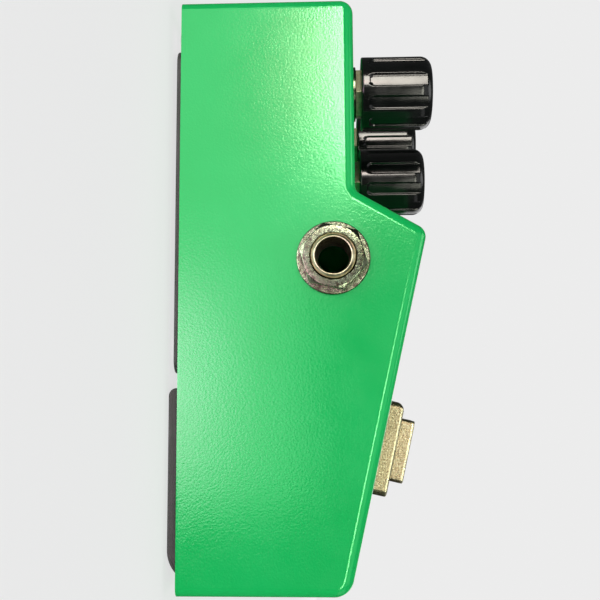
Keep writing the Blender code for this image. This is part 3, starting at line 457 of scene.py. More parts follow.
def black_gloss():
    """Moulded knob plastic, polished by hands, with faint marks along the knob's axis."""
    look = Look("black_gloss", (0.006, 0.008, 0.007), 0.14)
    haze = look.noise(5 * MM, 4)
    look.colour(look.mottle(haze, 0.35, 0.75, (0.002, 0.003, 0.0025), (0.006, 0.0075, 0.007)))
    look.roughness(look.ramp(haze, 0.3, 0.75, 0.1, 0.24))
    look.bump(look.noise(0.35 * MM, 3), 0.0015 * MM)
    look.bump(look.noise(1.6 * MM, 2, (1, 1, 0.12)), 0.006 * MM)
    return look.material


def black_matt():
    look = Look("black_matt", (0.012, 0.012, 0.012), 0.5)
    grain = look.noise(0.35 * MM, 3)
    look.colour(look.mottle(look.noise(4 * MM, 3), 0.3, 0.7, (0.009, 0.009, 0.009), (0.018, 0.018, 0.018)))
    look.roughness(look.ramp(grain, 0.3, 0.7, 0.42, 0.6))
    look.bump(grain, 0.02 * MM)
    return look.material


def rubber():
    """Black rubber with streaks from its moulding along Y, and dust in patches."""
    look = Look("rubber", (0.03, 0.03, 0.031), 0.62)
    streak = look.noise(0.5 * MM, 3, (1, 0.04, 1.6))
    base = look.mottle(streak, 0.35, 0.7, (0.01, 0.011, 0.01), (0.036, 0.039, 0.035))
    look.colour(look.mottle(look.noise(2.2 * MM, 4), 0.55, 0.8, base, (0.07, 0.075, 0.066), 0.35))
    look.roughness(look.ramp(streak, 0.3, 0.7, 0.5, 0.75))
    look.bump(streak, 0.03 * MM)
    look.bump(look.noise(0.3 * MM, 2), 0.02 * MM)
    return look.material


def nickel(name, grain, grain_depth, tarnish=0.5, rough=(0.1, 0.24), shine=0.85, warmth=1.0):
    """Nickel plate, brighter and duller by turns, with fine wear and dark tarnish in patches.

    shine scales its brightness and warmth its red.
    """
    look = Look(name, (0.6, 0.56, 0.46), rough[0], 1.0)
    patch = look.noise(0.7 * MM, 5)
    bright = [channel * shine for channel in (0.62 * warmth, 0.76, 0.52)]
    dull = [channel * shine for channel in (0.44 * warmth, 0.52, 0.32)]
    base = look.mottle(look.noise(5 * MM, 2), 0.3, 0.7, bright, dull)
    look.colour(look.mottle(patch, 0.45, 0.65, base, (0.04, 0.03, 0.022), tarnish))
    look.roughness(look.ramp(patch, 0.35, 0.7, *rough))
    look.bump(look.noise(grain, 3), grain_depth)
    return look.material


def champagne(name, grain, depth, size, top):
    """Cast metal with a warm satin plate and a pebbled skin, with a painted highlight along its upper edges.

    size is the width of its square block and top is the height of the block's upper face.
    """
    look = Look(name, (0.24, 0.2, 0.12), 0.5, 1.0)
    pebble = look.noise(grain, 3)
    base = look.mottle(look.noise(7 * MM, 3), 0.3, 0.7, (0.26, 0.22, 0.13), (0.2, 0.165, 0.095))
    skin = look.mottle(pebble, 0.5, 0.7, base, (0.47, 0.455, 0.32), 0.7)
    # Painted highlight: a light cream band along the block's upper edges, standing in for the glint of their
    # rounding.
    look.colour(look.mottle(look.rim(size, top, 0.5 * MM), 0, 1, skin, (0.64, 0.61, 0.4), 0.85))
    look.roughness(look.ramp(pebble, 0.3, 0.7, 0.24, 0.36))
    look.bump(pebble, depth)
    return look.material


def zinc():
    """Zinc-plated steel: a cool grey with faint crystals and rolling marks."""
    look = Look("zinc", (0.56, 0.57, 0.57), 0.34, 1.0)
    base = look.mottle(look.cells(3 * MM), 0.1, 0.8, (0.5, 0.51, 0.51), (0.64, 0.65, 0.63))
    look.colour(look.mottle(look.noise(8 * MM, 4), 0.45, 0.75, base, (0.5, 0.46, 0.36), 0.5))
    rolling = look.noise(0.3 * MM, 3, (1, 0.03, 1))
    look.roughness(look.ramp(rolling, 0.3, 0.7, 0.26, 0.44))
    look.bump(rolling, 0.004 * MM)
    return look.material


def brass():
    look = Look("spring_brass", (0.72, 0.52, 0.24), 0.26, 1.0)
    look.colour(look.mottle(look.noise(1.5 * MM, 4), 0.4, 0.75, (0.76, 0.57, 0.28), (0.5, 0.33, 0.14)))
    look.roughness(look.ramp(look.noise(0.4 * MM, 3, (1, 1, 0.1)), 0.3, 0.7, 0.2, 0.36))
    return look.material


def moulded(name, dark, light, rough):
    """A plain moulded or dipped finish: mottled between two colours, with a fine skin."""
    look = Look(name, light, rough[0])
    look.colour(look.mottle(look.noise(2.5 * MM, 3), 0.3, 0.7, dark, light))
    skin = look.noise(0.6 * MM, 3)
    look.roughness(look.ramp(skin, 0.3, 0.7, *rough))
    look.bump(skin, 0.008 * MM)
    return look.material


def board_mask():
    """Solder mask over copper, whose tracks show as lighter bands."""
    look = Look("board_mask", (0.02, 0.16, 0.07), 0.3)
    tracks = look.cells(5 * MM, "DISTANCE_TO_EDGE", (1, 0.6, 1))
    look.colour(look.mottle(tracks, 0.08, 0.12, (0.05, 0.26, 0.1), (0.015, 0.11, 0.05)))
    look.roughness(look.ramp(look.noise(1 * MM, 3), 0.3, 0.7, 0.22, 0.4))
    look.bump(look.ramp(tracks, 0.08, 0.12, 1, 0), 0.03 * MM)
    return look.material


def battery_sleeve():
    """A printed metal sleeve: a dark body with a copper-coloured band at one end."""
    look = Look("battery_sleeve", (0.05, 0.05, 0.06), 0.3, 0.6)
    low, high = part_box("battery")
    band_start = high.x - 0.36 * (high.x - low.x)
    band_edge = (band_start, band_start + 0.1 * MM)
    along = split_node(look.tree, look.place)["X"]
    look.colour(look.mottle(along, *band_edge, (0.03, 0.03, 0.035), (0.65, 0.33, 0.16)))
    look.roughness(look.ramp(look.noise(0.8 * MM, 4), 0.3, 0.7, 0.22, 0.38))
    return look.material


def red_lens():
    look = Look("red_lens", (0.2, 0.002, 0.003), 0.08)
    look.set("Transmission Weight", 0.55)
    look.set("IOR", 1.54)
    look.colour(look.mottle(look.noise(1.2 * MM, 2), 0.3, 0.7, (0.14, 0.0015, 0.002), (0.24, 0.003, 0.004)))
    look.roughness(look.ramp(look.noise(0.5 * MM, 2), 0.3, 0.7, 0.05, 0.12))
    return look.material


def pointer_white():
    look = Look("pointer_white", (0.8, 0.79, 0.75), 0.45)
    look.colour(look.mottle(look.noise(0.5 * MM, 3), 0.35, 0.75, (0.82, 0.81, 0.77), (0.66, 0.65, 0.61)))
    look.bump(look.noise(0.2 * MM, 2), 0.006 * MM)
    return look.material


LOOKS = {
    "green_paint": green_paint(),
    "black_gloss": black_gloss(),
    "black_matt": black_matt(),
    "rubber": rubber(),
    "nickel": nickel("bright_nickel", 0.35 * MM, 0.003 * MM),
    "worn_nickel": nickel("worn_nickel", 0.25 * MM, 0.03 * MM, 0.9, (0.08, 0.2), 0.3),
    "grained_nickel": nickel("grained_nickel", 0.3 * MM, 0.07 * MM, 0.85, (0.1, 0.24), 0.3),
    "satin_nickel": nickel("satin_nickel", 0.3 * MM, 0.004 * MM, 0.35, (0.28, 0.4), 0.65, 1.25),
    "champagne": champagne("champagne_plate", 0.4 * MM, 0.05 * MM, BEZEL_SIZE, BEZEL_HEIGHT),
    "champagne_pebbled": champagne("champagne_pebbled", 0.45 * MM, 0.12 * MM, BUTTON_SIZE, BUTTON_HEIGHT),
    "zinc": zinc(),
    "brass": brass(),
    "board": board_mask(),
    "sleeve": battery_sleeve(),
    "red_lens": red_lens(),
    "pointer": pointer_white(),
    "red_dip": moulded("red_dip", (0.26, 0.02, 0.012), (0.42, 0.04, 0.02), (0.28, 0.45)),
    "blue_sleeve": moulded("blue_sleeve", (0.012, 0.03, 0.13), (0.025, 0.06, 0.22), (0.25, 0.4)),
    "phenolic": moulded("phenolic_sheet", (0.2, 0.1, 0.045), (0.36, 0.2, 0.1), (0.45, 0.6)),
}


# Housing


def housing_outline(inset=0.0, radii=(FRONT_RADIUS, BROW_RADIUS, NOTCH_RADIUS, REAR_RADIUS), bottom=BASE_Z):
    """The side profile as (y, z) points, moved inwards by inset and running down to bottom."""
    front, brow, notch, rear = radii
    brow_angle = math.atan2(BROW_Z - NOTCH_Z, NOTCH_Y - BROW_Y)
    deck_angle = math.atan2(NOTCH_Z - DECK_Z, HALF_LENGTH - NOTCH_Y)

    def corner(y, z, angle_in, angle_out):
        """Moves a corner inwards, between faces that run at these angles to the horizontal."""
        half = (angle_in + angle_out) / 2
        reach = inset / math.cos((angle_in - angle_out) / 2)
        return y + reach * math.sin(half), z - reach * math.cos(half)

    return rounded(
        [
            (-HALF_LENGTH + inset, bottom, 0),
            (*corner(-HALF_LENGTH, FRONT_TOP_Z, math.pi / 2, SLOPE), front),
            (*corner(BROW_Y, BROW_Z, SLOPE, -brow_angle), brow),
            (*corner(NOTCH_Y, NOTCH_Z, -brow_angle, -deck_angle), notch),
            (*corner(HALF_LENGTH, DECK_Z, -deck_angle, -math.pi / 2), rear),
            (HALF_LENGTH - inset, bottom, 0),
        ],
        12,
    )


def round_base_edge(shell):
    """Rounds the outer bottom edge, where the paint runs over the rim."""
    bm = bmesh.new()
    bm.from_mesh(shell.data)
    tiny = 0.01 * MM
    place = shell.matrix_world

    def on_rim(vert):
        x, y, z = place @ vert.co
        outside = abs(x) > HALF_WIDTH - tiny or abs(y) > HALF_LENGTH - tiny
        return outside and abs(z - BASE_Z) < tiny

    rim = [edge for edge in bm.edges if all(on_rim(vert) for vert in edge.verts)]
    bmesh.ops.bevel(
        bm, geom=rim, offset=BASE_ROUNDING, offset_type="OFFSET", segments=4, profile=0.5, affect="EDGES"
    )
    bm.to_mesh(shell.data)
    bm.free()


def panel_holes():
    """Cutters for the holes in the deck, slope, sides and rear."""
    reach = 5 * MM
    cutters = []
    for name in CONTROL_TURNS:
        cutters.append(add_prism(f"{name}_hole", circle(3.8 * MM), -reach, reach, control_frame(name)))
    cutters.append(add_prism("lamp_hole", circle(LAMP_RADIUS + 0.8 * MM), -reach, reach, LAMP_FRAME))
    for side, place in JACK_FRAMES.items():
        cutters.append(add_prism(f"{side}_hole", circle(4.8 * MM), -reach, reach, place))
    cutters.append(add_prism("inlet_hole", circle(4.5 * MM), -reach, reach, INLET_FRAME))
    cutters.append(add_prism("switch_hole", circle(6.3 * MM), -reach, reach, SLOPE_FRAME))
    return cutters


def make_shell():
    """The die-cast housing, open below, with rounded side edges."""
    shell = add_prism(
        "housing_shell", housing_outline(bottom=BASE_Z - 8 * MM), -HALF_WIDTH, HALF_WIDTH, PROFILE_FRAME
    )
    round_edges(shell, SIDE_FILLET, segments=10, angle=50)
    ground = rectangle(2 * HALF_WIDTH, -2 * HALF_LENGTH, 2 * HALF_LENGTH, MM)
    below = add_prism("below", ground, -50 * MM, BASE_Z)
    inner_radii = (FRONT_RADIUS - WALL, 1 * MM, NOTCH_RADIUS + WALL, 1 * MM)
    cavity = add_prism(
        "cavity",
        housing_outline(WALL, inner_radii, -3 * MM),
        -HALF_WIDTH + WALL,
        HALF_WIDTH - WALL,
        PROFILE_FRAME,
    )
    cut(shell, below, cavity, *panel_holes())
    round_base_edge(shell)
    shade(shell)
    return place_piece(shell, "housing", LOOKS["green_paint"], "green_paint", "enclosure_shell")


make_shell()


# Base


def rounded_slab(name, outline, low, high, rounding, holes=()):
    slab = add_prism(name, outline, low, high)
    if holes:
        cut(slab, *holes)
    round_edges(slab, rounding)
    return shade(slab)


def screw_places():
    places = []
    for k in range(1, 5):
        low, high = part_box(f"base_screw_{k}")
        places.append((f"base_screw_{k}", (low + high) / 2, low.z))
    return places


def make_base_mat():
    low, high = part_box("base_mat")
    holes = [
        add_prism(f"{name}_hole", circle(3.5 * MM, 48), low.z - MM, high.z + MM, centre=centre[:2])
        for name, centre, _ in screw_places()
        if centre.y < high.y
    ]
    outline = rectangle(high.x, low.y, high.y, 3 * MM)
    mat = rounded_slab("rear_mat", outline, low.z, BASE_Z, 0.35 * MM, holes)
    return place_piece(mat, "housing", LOOKS["rubber"], "black_rubber", "base_mat")


def make_front_pad():
    """The pad under the battery door, with a long curved lead-in at its front end."""
    low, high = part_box("door_pad")
    taper, thick = 5.2 * MM, 2.4 * MM
    radius = (taper**2 + thick**2) / (2 * thick)
    sweep = math.asin(taper / radius)
    steps = 16
    arc = [
        (low.y + taper - radius * math.sin(sweep * k / steps), radius * (1 - math.cos(sweep * k / steps)))
        for k in range(steps, -1, -1)
    ]
    corner = 1.6 * MM
    rear = [
        (high.y - corner + corner * math.sin(angle), corner * (1 - math.cos(angle)))
        for angle in (math.pi / 2 * k / 8 for k in range(9))
    ]
    pad = add_prism("front_pad", [*arc, *rear, (high.y, thick)], -high.x, high.x, PROFILE_FRAME)
    settle(pad)
    round_edges(pad, 0.35 * MM, angle=40)
    shade(pad)
    return place_piece(pad, "battery_door", LOOKS["rubber"], "black_rubber", "door_pad")


def make_screw(name, centre, head_low):
    """A pan-head screw with a cross recess, head down."""
    head = 2.8 * MM
    dome = [
        (head * math.sin(angle), head_low + 0.9 * MM * (1 - math.cos(angle)))
        for angle in (math.radians(62) * k / 8 for k in range(1, 9))
    ]
    rim = dome[-1][0]
    profile = [
        (0, head_low),
        *dome,
        (rim + 0.15 * MM, dome[-1][1] + 0.2 * MM),
        (rim + 0.15 * MM, BASE_Z),
        (1.5 * MM, BASE_Z),
        (1.5 * MM, 10.8 * MM),
        (0.7 * MM, 12 * MM),
        (0, 12 * MM),
    ]
    screw = add_turned(name, profile, Matrix.Translation((centre.x, centre.y, 0)), 64)
    slots = []
    for k, (long, thin) in enumerate(((1.6 * MM, 0.36 * MM), (0.36 * MM, 1.6 * MM))):
        outline = rectangle(long, -thin, thin, 0.2 * MM)
        slots.append(add_prism(f"slot_{k}", outline, head_low - MM, head_low + 0.8 * MM, screw.matrix_world))
    cut(screw, *slots)
    round_edges(screw, 0.06 * MM, 2)
    shade(screw)
    return screw


def make_base():
    make_base_mat()
    make_front_pad()
    for name, centre, head_low in screw_places():
        screw = make_screw(f"{name}_fine", centre, head_low)
        place_piece(screw, "housing", LOOKS["zinc"], "zinc_steel", name)


make_base()


# Controls


def knob_profile(height):
    """The knob's outer shape from the middle of its top to its rim, as (radius, height) points."""
    dish, dish_radius = 0.25 * MM, 4.6 * MM
    top = [(dish_radius * k / 6, height - dish * (1 - (k / 6) ** 2)) for k in range(7)]
    steps = 22
    crown = [
        (
            KNOB_RADIUS - KNOB_EDGE * (1 - math.sin(angle)),
            height - KNOB_EDGE * (1 - math.cos(angle)),
        )
        for angle in (math.pi / 2 * k / steps for k in range(steps + 1))
    ]
    side_top = height - KNOB_EDGE
    rows = 46
    side = [(KNOB_RADIUS, side_top * (1 - k / rows) + 0.35 * MM * k / rows) for k in range(1, rows + 1)]
    foot = [
        (KNOB_RADIUS - 0.35 * MM * (1 - math.cos(angle)), 0.35 * MM * (1 - math.sin(angle)))
        for angle in (math.pi / 2 * k / 4 for k in range(1, 5))
    ]
    return [*top, *crown, *side, *foot]


def flute_radius(angle, height):
    """The radius that the flutes, shallow channels with a rounded lower end, leave at this place."""
    pitch = 2 * math.pi / FLUTES
    off = (angle - math.pi + pitch / 2) % pitch - pitch / 2
    across = abs(off) * KNOB_RADIUS / FLUTE_HALF_WIDTH
    below = max(0.0, FLUTE_START + FLUTE_END_LENGTH - height) / FLUTE_END_LENGTH
    squareness = 2.6
    outwards = (across**squareness + below**squareness) ** (1 / squareness)
    share = min(1.0, max(0.0, (1 - outwards) * FLUTE_HALF_WIDTH / FLUTE_WALL))
    return KNOB_RADIUS - FLUTE_DEPTH * share * share * (3 - 2 * share)


def knob_body(name, height, place):
    """The fluted knob, hollow below, as one closed skin round its axis."""
    steps = 600
    skirt_bore, skirt_depth = 6.4 * MM, 4 * MM
    shaft_bore, shaft_end = 3.0 * MM, height - 4.2 * MM
    outer = knob_profile(height)
    hollow = [
        (skirt_bore, 0.0),
        (skirt_bore, skirt_depth),
        (shaft_bore, skirt_depth),
        (shaft_bore, shaft_end),
        (0.0, shaft_end),
    ]
    bm = bmesh.new()
    columns = []
    for k, (radius, level) in enumerate([*outer, *hollow]):
        if radius <= 0:
            columns.append([bm.verts.new((0, 0, level))])
            continue
        column = []
        for step in range(steps):
            angle = 2 * math.pi * step / steps
            here = radius
            if k < len(outer):
                here = min(radius, flute_radius(angle, level))
            column.append(bm.verts.new((here * math.cos(angle), here * math.sin(angle), level)))
        columns.append(column)
    for upper, lower in zip(columns, columns[1:]):
        join_rings(bm, upper, lower)
    return object_from(name, bm, place)


def pointer_line(name, height, place):
    """A white line from near the middle of the knob's top, out and over its edge."""
    half = 0.42 * MM
    proud = 0.03 * MM
    line = [
        (radius, level)
        for radius, level in knob_profile(height)
        if radius > 1.6 * MM and level > height - 0.8 * KNOB_EDGE
    ]
    bm = bmesh.new()
    rows = []
    for k, (radius, level) in enumerate(line):
        before, after = line[max(k - 1, 0)], line[min(k + 1, len(line) - 1)]
        along = Vector((after[0] - before[0], after[1] - before[1])).normalized()
        out = Vector((-along.y, along.x))
        rows.append(
            [
                bm.verts.new((side * half, radius + out.x * lift, level + out.y * lift))
                for side, lift in ((-1, -0.3 * MM), (-1, proud), (1, proud), (1, -0.3 * MM))
            ]
        )
    for first, second in zip(rows, rows[1:]):
        join_rings(bm, first, second)
    bm.faces.new(rows[0])
    bm.faces.new(rows[-1])
    return object_from(name, bm, place)


def hex_nut(name, corner_radius, bore, low, high, place, turn, chamfer):
    """A hex nut whose outer face is chamfered to a circle and whose bore has a countersink."""
    turned = place @ Matrix.Rotation(math.radians(turn), 4, "Z")
    nut = add_prism(name, circle(corner_radius, 6), low, high, turned)
    flat = corner_radius * math.cos(math.pi / 6)
    spread = corner_radius - flat + 0.4 * MM
    envelope = add_turned(
        f"{name}_envelope",
        [
            (0, high),
            (flat - 0.05 * MM, high),
            (flat + spread, high - chamfer),
            (flat + spread, low - MM),
            (0, low - MM),
        ],
        turned,
        144,
    )
    combine(nut, "INTERSECT", envelope)
    sink = 0.35 * MM
    hole = add_turned(
        f"{name}_bore",
        [(0, high + MM), (bore + sink + MM, high + MM), (bore, high - sink), (bore, low - MM), (0, low - MM)],
        turned,
        144,
    )
    cut(nut, hole)
    round_edges(nut, 0.1 * MM, 2, 22)
    return shade(nut, 30)


def flat_washer(name, outer, inner, thickness, place, steps):
    profile = [(outer, thickness), (outer, 0.0), (inner, 0.0), (inner, thickness)]
    return add_turned(name, profile, place, steps)


def make_control(name):
    place = control_frame(name)
    low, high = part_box(f"{name}_knob")
    height = high.z - low.z
    body = f"{name}_control"
    lifted = place @ Matrix.Translation((0, 0, low.z - DECK_Z))
    knob = shade(knob_body(f"{name}_knob_fine", height, lifted), 50)
    place_piece(knob, body, LOOKS["black_gloss"], "black_plastic", f"{name}_knob")
    pointer = shade(pointer_line(f"{name}_pointer", height, lifted))
    place_piece(pointer, body, LOOKS["pointer"], "black_plastic")

    fixed = Matrix.Translation(place.translation)
    thread, washer_top, nut_top = 3.5 * MM, 0.7 * MM, 3.0 * MM
    nut = hex_nut(
        f"{name}_nut_fine", POT_NUT_RADIUS, thread, washer_top, nut_top, fixed, POT_NUT_TURN, 0.5 * MM
    )
    place_piece(nut, "housing", LOOKS["satin_nickel"], "nickel", f"{name}_pot_nut")
    washer = flat_washer(f"{name}_washer_fine", 6.0 * MM, thread, washer_top, fixed, 96)
    round_edges(washer, 0.12 * MM, 2)
    shade(washer)
    place_piece(washer, "housing", LOOKS["worn_nickel"], "nickel", f"{name}_pot_washer")


for control_name in CONTROL_TURNS:
    make_control(control_name)


def make_lamp():
    """The red lamp in its turned bezel."""
    sleeve = LAMP_RADIUS + 0.6 * MM
    ring = [
        (LAMP_RADIUS + 0.05 * MM, 1.35 * MM),
        (LAMP_RADIUS + 0.25 * MM, 1.5 * MM),
        (sleeve, 1.5 * MM),
        (sleeve + 0.45 * MM, 1.25 * MM),
        (sleeve + 0.8 * MM, 0.8 * MM),
        (sleeve + 0.9 * MM, 0.4 * MM),
        (sleeve + 0.9 * MM, 0.0),
        (sleeve, 0.0),
        (sleeve, -4.7 * MM),
        (LAMP_RADIUS + 0.05 * MM, -4.7 * MM),
    ]
    bezel = shade(add_turned("lamp_bezel", ring, LAMP_FRAME), 40)
    place_piece(bezel, "housing", LOOKS["nickel"], "nickel", "lamp_holder")
    steps = 16
    foot = 1.2 * MM
    dome = [
        (LAMP_RADIUS * math.sin(angle), foot + LAMP_RADIUS * math.cos(angle))
        for angle in (math.pi / 2 * k / steps for k in range(steps + 1))
    ]
    base = -6.0 * MM
    flange = LAMP_RADIUS + 0.4 * MM
    body = [*dome, (LAMP_RADIUS, base + MM), (flange, base + MM), (flange, base), (0, base)]
    lens = shade(add_turned("lamp_lens", body, LAMP_FRAME, 64), 40)
    place_piece(lens, "housing", LOOKS["red_lens"], "red_lens", "indicator_lamp")


make_lamp()


# Jacks


def jack_bushing(name, place):
    """The threaded sleeve of a jack, with its collar inside the panel."""
    lip = 0.4 * MM
    turn_depth, turn_pitch = 0.14 * MM, 0.5 * MM
    thread = []
    level = JACK_MOUTH - lip
    while level > 0:
        thread.append((JACK_THREAD_RADIUS, level))
        thread.append((JACK_THREAD_RADIUS - turn_depth, level - turn_pitch / 2))
        level -= turn_pitch
    rim = JACK_MOUTH_RADIUS + 0.22 * MM
    round_lip = 0.2 * MM
    lip_arc = [
        (rim - round_lip * math.cos(angle), JACK_MOUTH - round_lip * (1 - math.sin(angle)))
        for angle in (math.pi * k / 8 for k in range(8))
    ]
    profile = [
        *lip_arc,
        (JACK_THREAD_RADIUS - 0.08 * MM, JACK_MOUTH - lip - 0.1 * MM),
        *thread,
        (JACK_THREAD_RADIUS, -WALL),
        (6.5 * MM, -WALL),
        (6.5 * MM, -WALL - 1.2 * MM),
        (JACK_THREAD_RADIUS, -WALL - 1.2 * MM),
        (JACK_THREAD_RADIUS, JACK_SLEEVE_END),
        (JACK_BORE_RADIUS, JACK_SLEEVE_END),
        (JACK_BORE_RADIUS, JACK_MOUTH - 3.4 * MM),
        (JACK_MOUTH_RADIUS, JACK_MOUTH - 1.2 * MM),
    ]
    return add_turned(name, profile, place, 128)


def jack_arm(name, place):
    """The folded plate behind the panel that holds the tip contact."""
    low, high = -WALL - 1.2 * MM, -WALL - 0.02 * MM
    end, half, leg_half = 8.2 * MM, 6.5 * MM, 4.5 * MM
    plate = add_prism(f"{name}_plate", rectangle(end, -half, half, 1.5 * MM), low, high, place)
    hole = add_prism(f"{name}_plate_hole", circle(JACK_THREAD_RADIUS), low - MM, high + MM, place)
    reach, reach_half = 20 * MM, 9 * MM
    outline = [(-reach, -reach_half), (-half, -reach_half), (-half, reach_half), (-reach, reach_half)]
    beyond = add_prism(f"{name}_beyond", outline, low - MM, high + MM, place)
    cut(plate, hole, beyond)
    fold = 7.0 * MM
    outline = [(fold, -leg_half), (end, -leg_half), (end, leg_half), (fold, leg_half)]
    join(plate, add_prism(f"{name}_leg", outline, -12 * MM, high - 0.3 * MM, place))
    plate.name = name
    round_edges(plate, 0.12 * MM, 2)
    return shade(plate)


def make_jack(side, place):
    bushing = shade(jack_bushing(f"{side}_bushing", place), 28)
    place_piece(bushing, "housing", LOOKS["satin_nickel"], "nickel", f"{side}_jack_frame")
    arm = jack_arm(f"{side}_arm", place)
    place_piece(arm, "housing", LOOKS["nickel"], "nickel")
    nut = hex_nut(
        f"{side}_nut_fine",
        JACK_NUT_RADIUS,
        JACK_THREAD_RADIUS,
        JACK_NUT_LOW,
        JACK_NUT_HIGH,
        place,
        JACK_NUT_TURN,
        0.65 * MM,
    )
    place_piece(nut, "housing", LOOKS["worn_nickel"], "nickel", f"{side}_jack_nut")
    washer = flat_washer(
        f"{side}_washer_fine", JACK_WASHER_RADIUS, JACK_THREAD_RADIUS, JACK_WASHER_HEIGHT, place, 128
    )
    round_edges(washer, 0.28 * MM, 4)
    shade(washer)
    place_piece(washer, "housing", LOOKS["grained_nickel"], "nickel", f"{side}_jack_washer")


for jack_side, jack_place in JACK_FRAMES.items():
    make_jack(jack_side, jack_place)


# Footswitch


def bezel_side():
    """The bezel from the side, as (y, z): its rear top edge is rounder than its front one."""
    rear, front, bottom = BEZEL_SIZE / 2, -BEZEL_SIZE / 2 - MM, -8 * MM
    return rounded(
        [(front, bottom, 0), (rear, bottom, 0), (rear, BEZEL_HEIGHT, 1.9 * MM), (front, BEZEL_HEIGHT, 0)]
    )


def make_bezel():
    bezel = add_prism("bezel_fine", square(BEZEL_SIZE, 1.6 * MM), 0.0, BEZEL_HEIGHT, SLOPE_FRAME)
    side_frame = SLOPE_FRAME @ axes((0, 0, 0), (0, 1, 0), (1, 0, 0))
    combine(bezel, "INTERSECT", add_prism("bezel_side", bezel_side(), -BEZEL_SIZE, BEZEL_SIZE, side_frame))
    shank = add_prism("shank", circle(6.0 * MM, 96), -6.2 * MM, BEZEL_FLOOR - 0.2 * MM, SLOPE_FRAME)
    join(bezel, shank)
    opening = square(BUTTON_SIZE + 0.5 * MM, 1.3 * MM)
    window = add_prism("window", opening, BEZEL_FLOOR, BEZEL_HEIGHT + MM, SLOPE_FRAME)
    stem_bore = add_prism("stem_bore", circle(4.3 * MM, 96), -8 * MM, 2 * MM, SLOPE_FRAME)
    cut(bezel, window, stem_bore)
    round_edges(bezel, 0.35 * MM, 4, 50)
    shade(bezel)
    return place_piece(bezel, "housing", LOOKS["champagne"], "satin_nickel", "footswitch_bezel")


def tread_bars(name, along_x):
    """Nine bars that cut the grooves of one direction into the button's top."""
    half_length = BUTTON_SIZE / 2 - 1.0 * MM
    half_width, depth = 0.2 * MM, 0.3 * MM
    pitch = 1.3 * MM
    bm = bmesh.new()
    for k in range(-4, 5):
        size = (2 * half_length, 2 * half_width, 2 * depth)
        place = Matrix.Translation((0, k * pitch, BUTTON_HEIGHT))
        turn = Matrix.Identity(4) if along_x else Matrix.Rotation(math.pi / 2, 4, "Z")
        bmesh.ops.create_cube(bm, size=1, matrix=turn @ place @ Matrix.Diagonal((*size, 1)))
    return object_from(name, bm, SLOPE_FRAME)


def make_button():
    outline = square(BUTTON_SIZE, 1.0 * MM)
    button = add_prism("button_fine", outline, BUTTON_BOTTOM, BUTTON_HEIGHT, SLOPE_FRAME)
    round_edges(button, 0.3 * MM, 4, 60)
    apply_modifiers(button)
    pocket_top = BUTTON_BOTTOM + 3 * MM
    pocket = add_prism("pocket", circle(6.3 * MM, 96), BUTTON_BOTTOM - MM, pocket_top, SLOPE_FRAME)
    cut(button, pocket)
    stem = add_prism("stem", circle(4.0 * MM, 96), -6.5 * MM, pocket_top + 0.5 * MM, SLOPE_FRAME)
    join(button, stem)
    cut(button, tread_bars("grooves_across", True))
    cut(button, tread_bars("grooves_along", False))
    shade(button)
    return place_piece(button, "footswitch", LOOKS["champagne_pebbled"], "satin_nickel", "footswitch_button")


def make_spring():
    """The return spring: a round wire helix, fixed to the housing."""
    radius, wire, turns = 5.2 * MM, 0.3 * MM, 3
    low, high = BEZEL_FLOOR + wire, BUTTON_BOTTOM + 3 * MM - wire
    curve = bpy.data.curves.new("spring_path", "CURVE")
    curve.dimensions = "3D"
    curve.bevel_depth = wire
    curve.bevel_resolution = 4
    curve.use_fill_caps = True
    spline = curve.splines.new("POLY")
    steps = 40 * turns
    spline.points.add(steps)
    for k, point in enumerate(spline.points):
        angle = 2 * math.pi * turns * k / steps
        point.co = (radius * math.cos(angle), radius * math.sin(angle), low + (high - low) * k / steps, 1)
    guide = bpy.data.objects.new("spring_guide", curve)
    bpy.context.scene.collection.objects.link(guide)
    bpy.context.view_layer.update()
    mesh = bpy.data.meshes.new_from_object(guide.evaluated_get(bpy.context.evaluated_depsgraph_get()))
    bpy.data.objects.remove(guide)
    mesh.transform(SLOPE_FRAME)
    spring = shade(add_object("return_spring", mesh))
    place_piece(spring, "housing", LOOKS["nickel"], "nickel", "footswitch_spring")
    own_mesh(spring)


make_bezel()
make_button()
make_spring()


# DC inlet


def make_inlet():
    """The moulded inlet with its collar in the rear wall, and the metal pin in its bore."""
    collar, bore, depth = 4.3 * MM, 2.8 * MM, 9 * MM
    half, half_height, length = 6 * MM, 5.3 * MM, 13 * MM
    back = -WALL - 0.3 * MM
    outline = rectangle(half, -half_height, half_height, 0.6 * MM)
    block = add_prism("inlet_fine", outline, back - length, back, INLET_FRAME)
    face, chamfer, neck_end = -0.3 * MM, 0.3 * MM, back - MM
    neck = [(0, face), (collar - chamfer, face), (collar, face - chamfer), (collar, neck_end), (0, neck_end)]
    join(block, add_turned("inlet_neck", neck, INLET_FRAME))
    countersink = bore + 1.7 * MM
    hole = [(0, MM), (countersink, MM), (bore, -0.7 * MM), (bore, -depth), (0, -depth)]
    cut(block, add_turned("inlet_bore", hole, INLET_FRAME))
    round_edges(block, 0.12 * MM, 2, 40)
    shade(block)
    place_piece(block, "housing", LOOKS["black_matt"], "black_plastic", "dc_inlet")
    radius, dome, dome_low, foot = MM, 0.4 * MM, -1.9 * MM, -depth - 0.5 * MM
    tip = [
        (radius * math.sin(angle), dome_low + dome * math.cos(angle))
        for angle in (math.pi / 2 * k / 6 for k in range(7))
    ]
    pin = shade(add_turned("inlet_pin", [*tip, (radius, foot), (0, foot)], INLET_FRAME, 48), 50)
    place_piece(pin, "housing", LOOKS["nickel"], "nickel")


make_inlet()


# CAD nodes that keep their shape

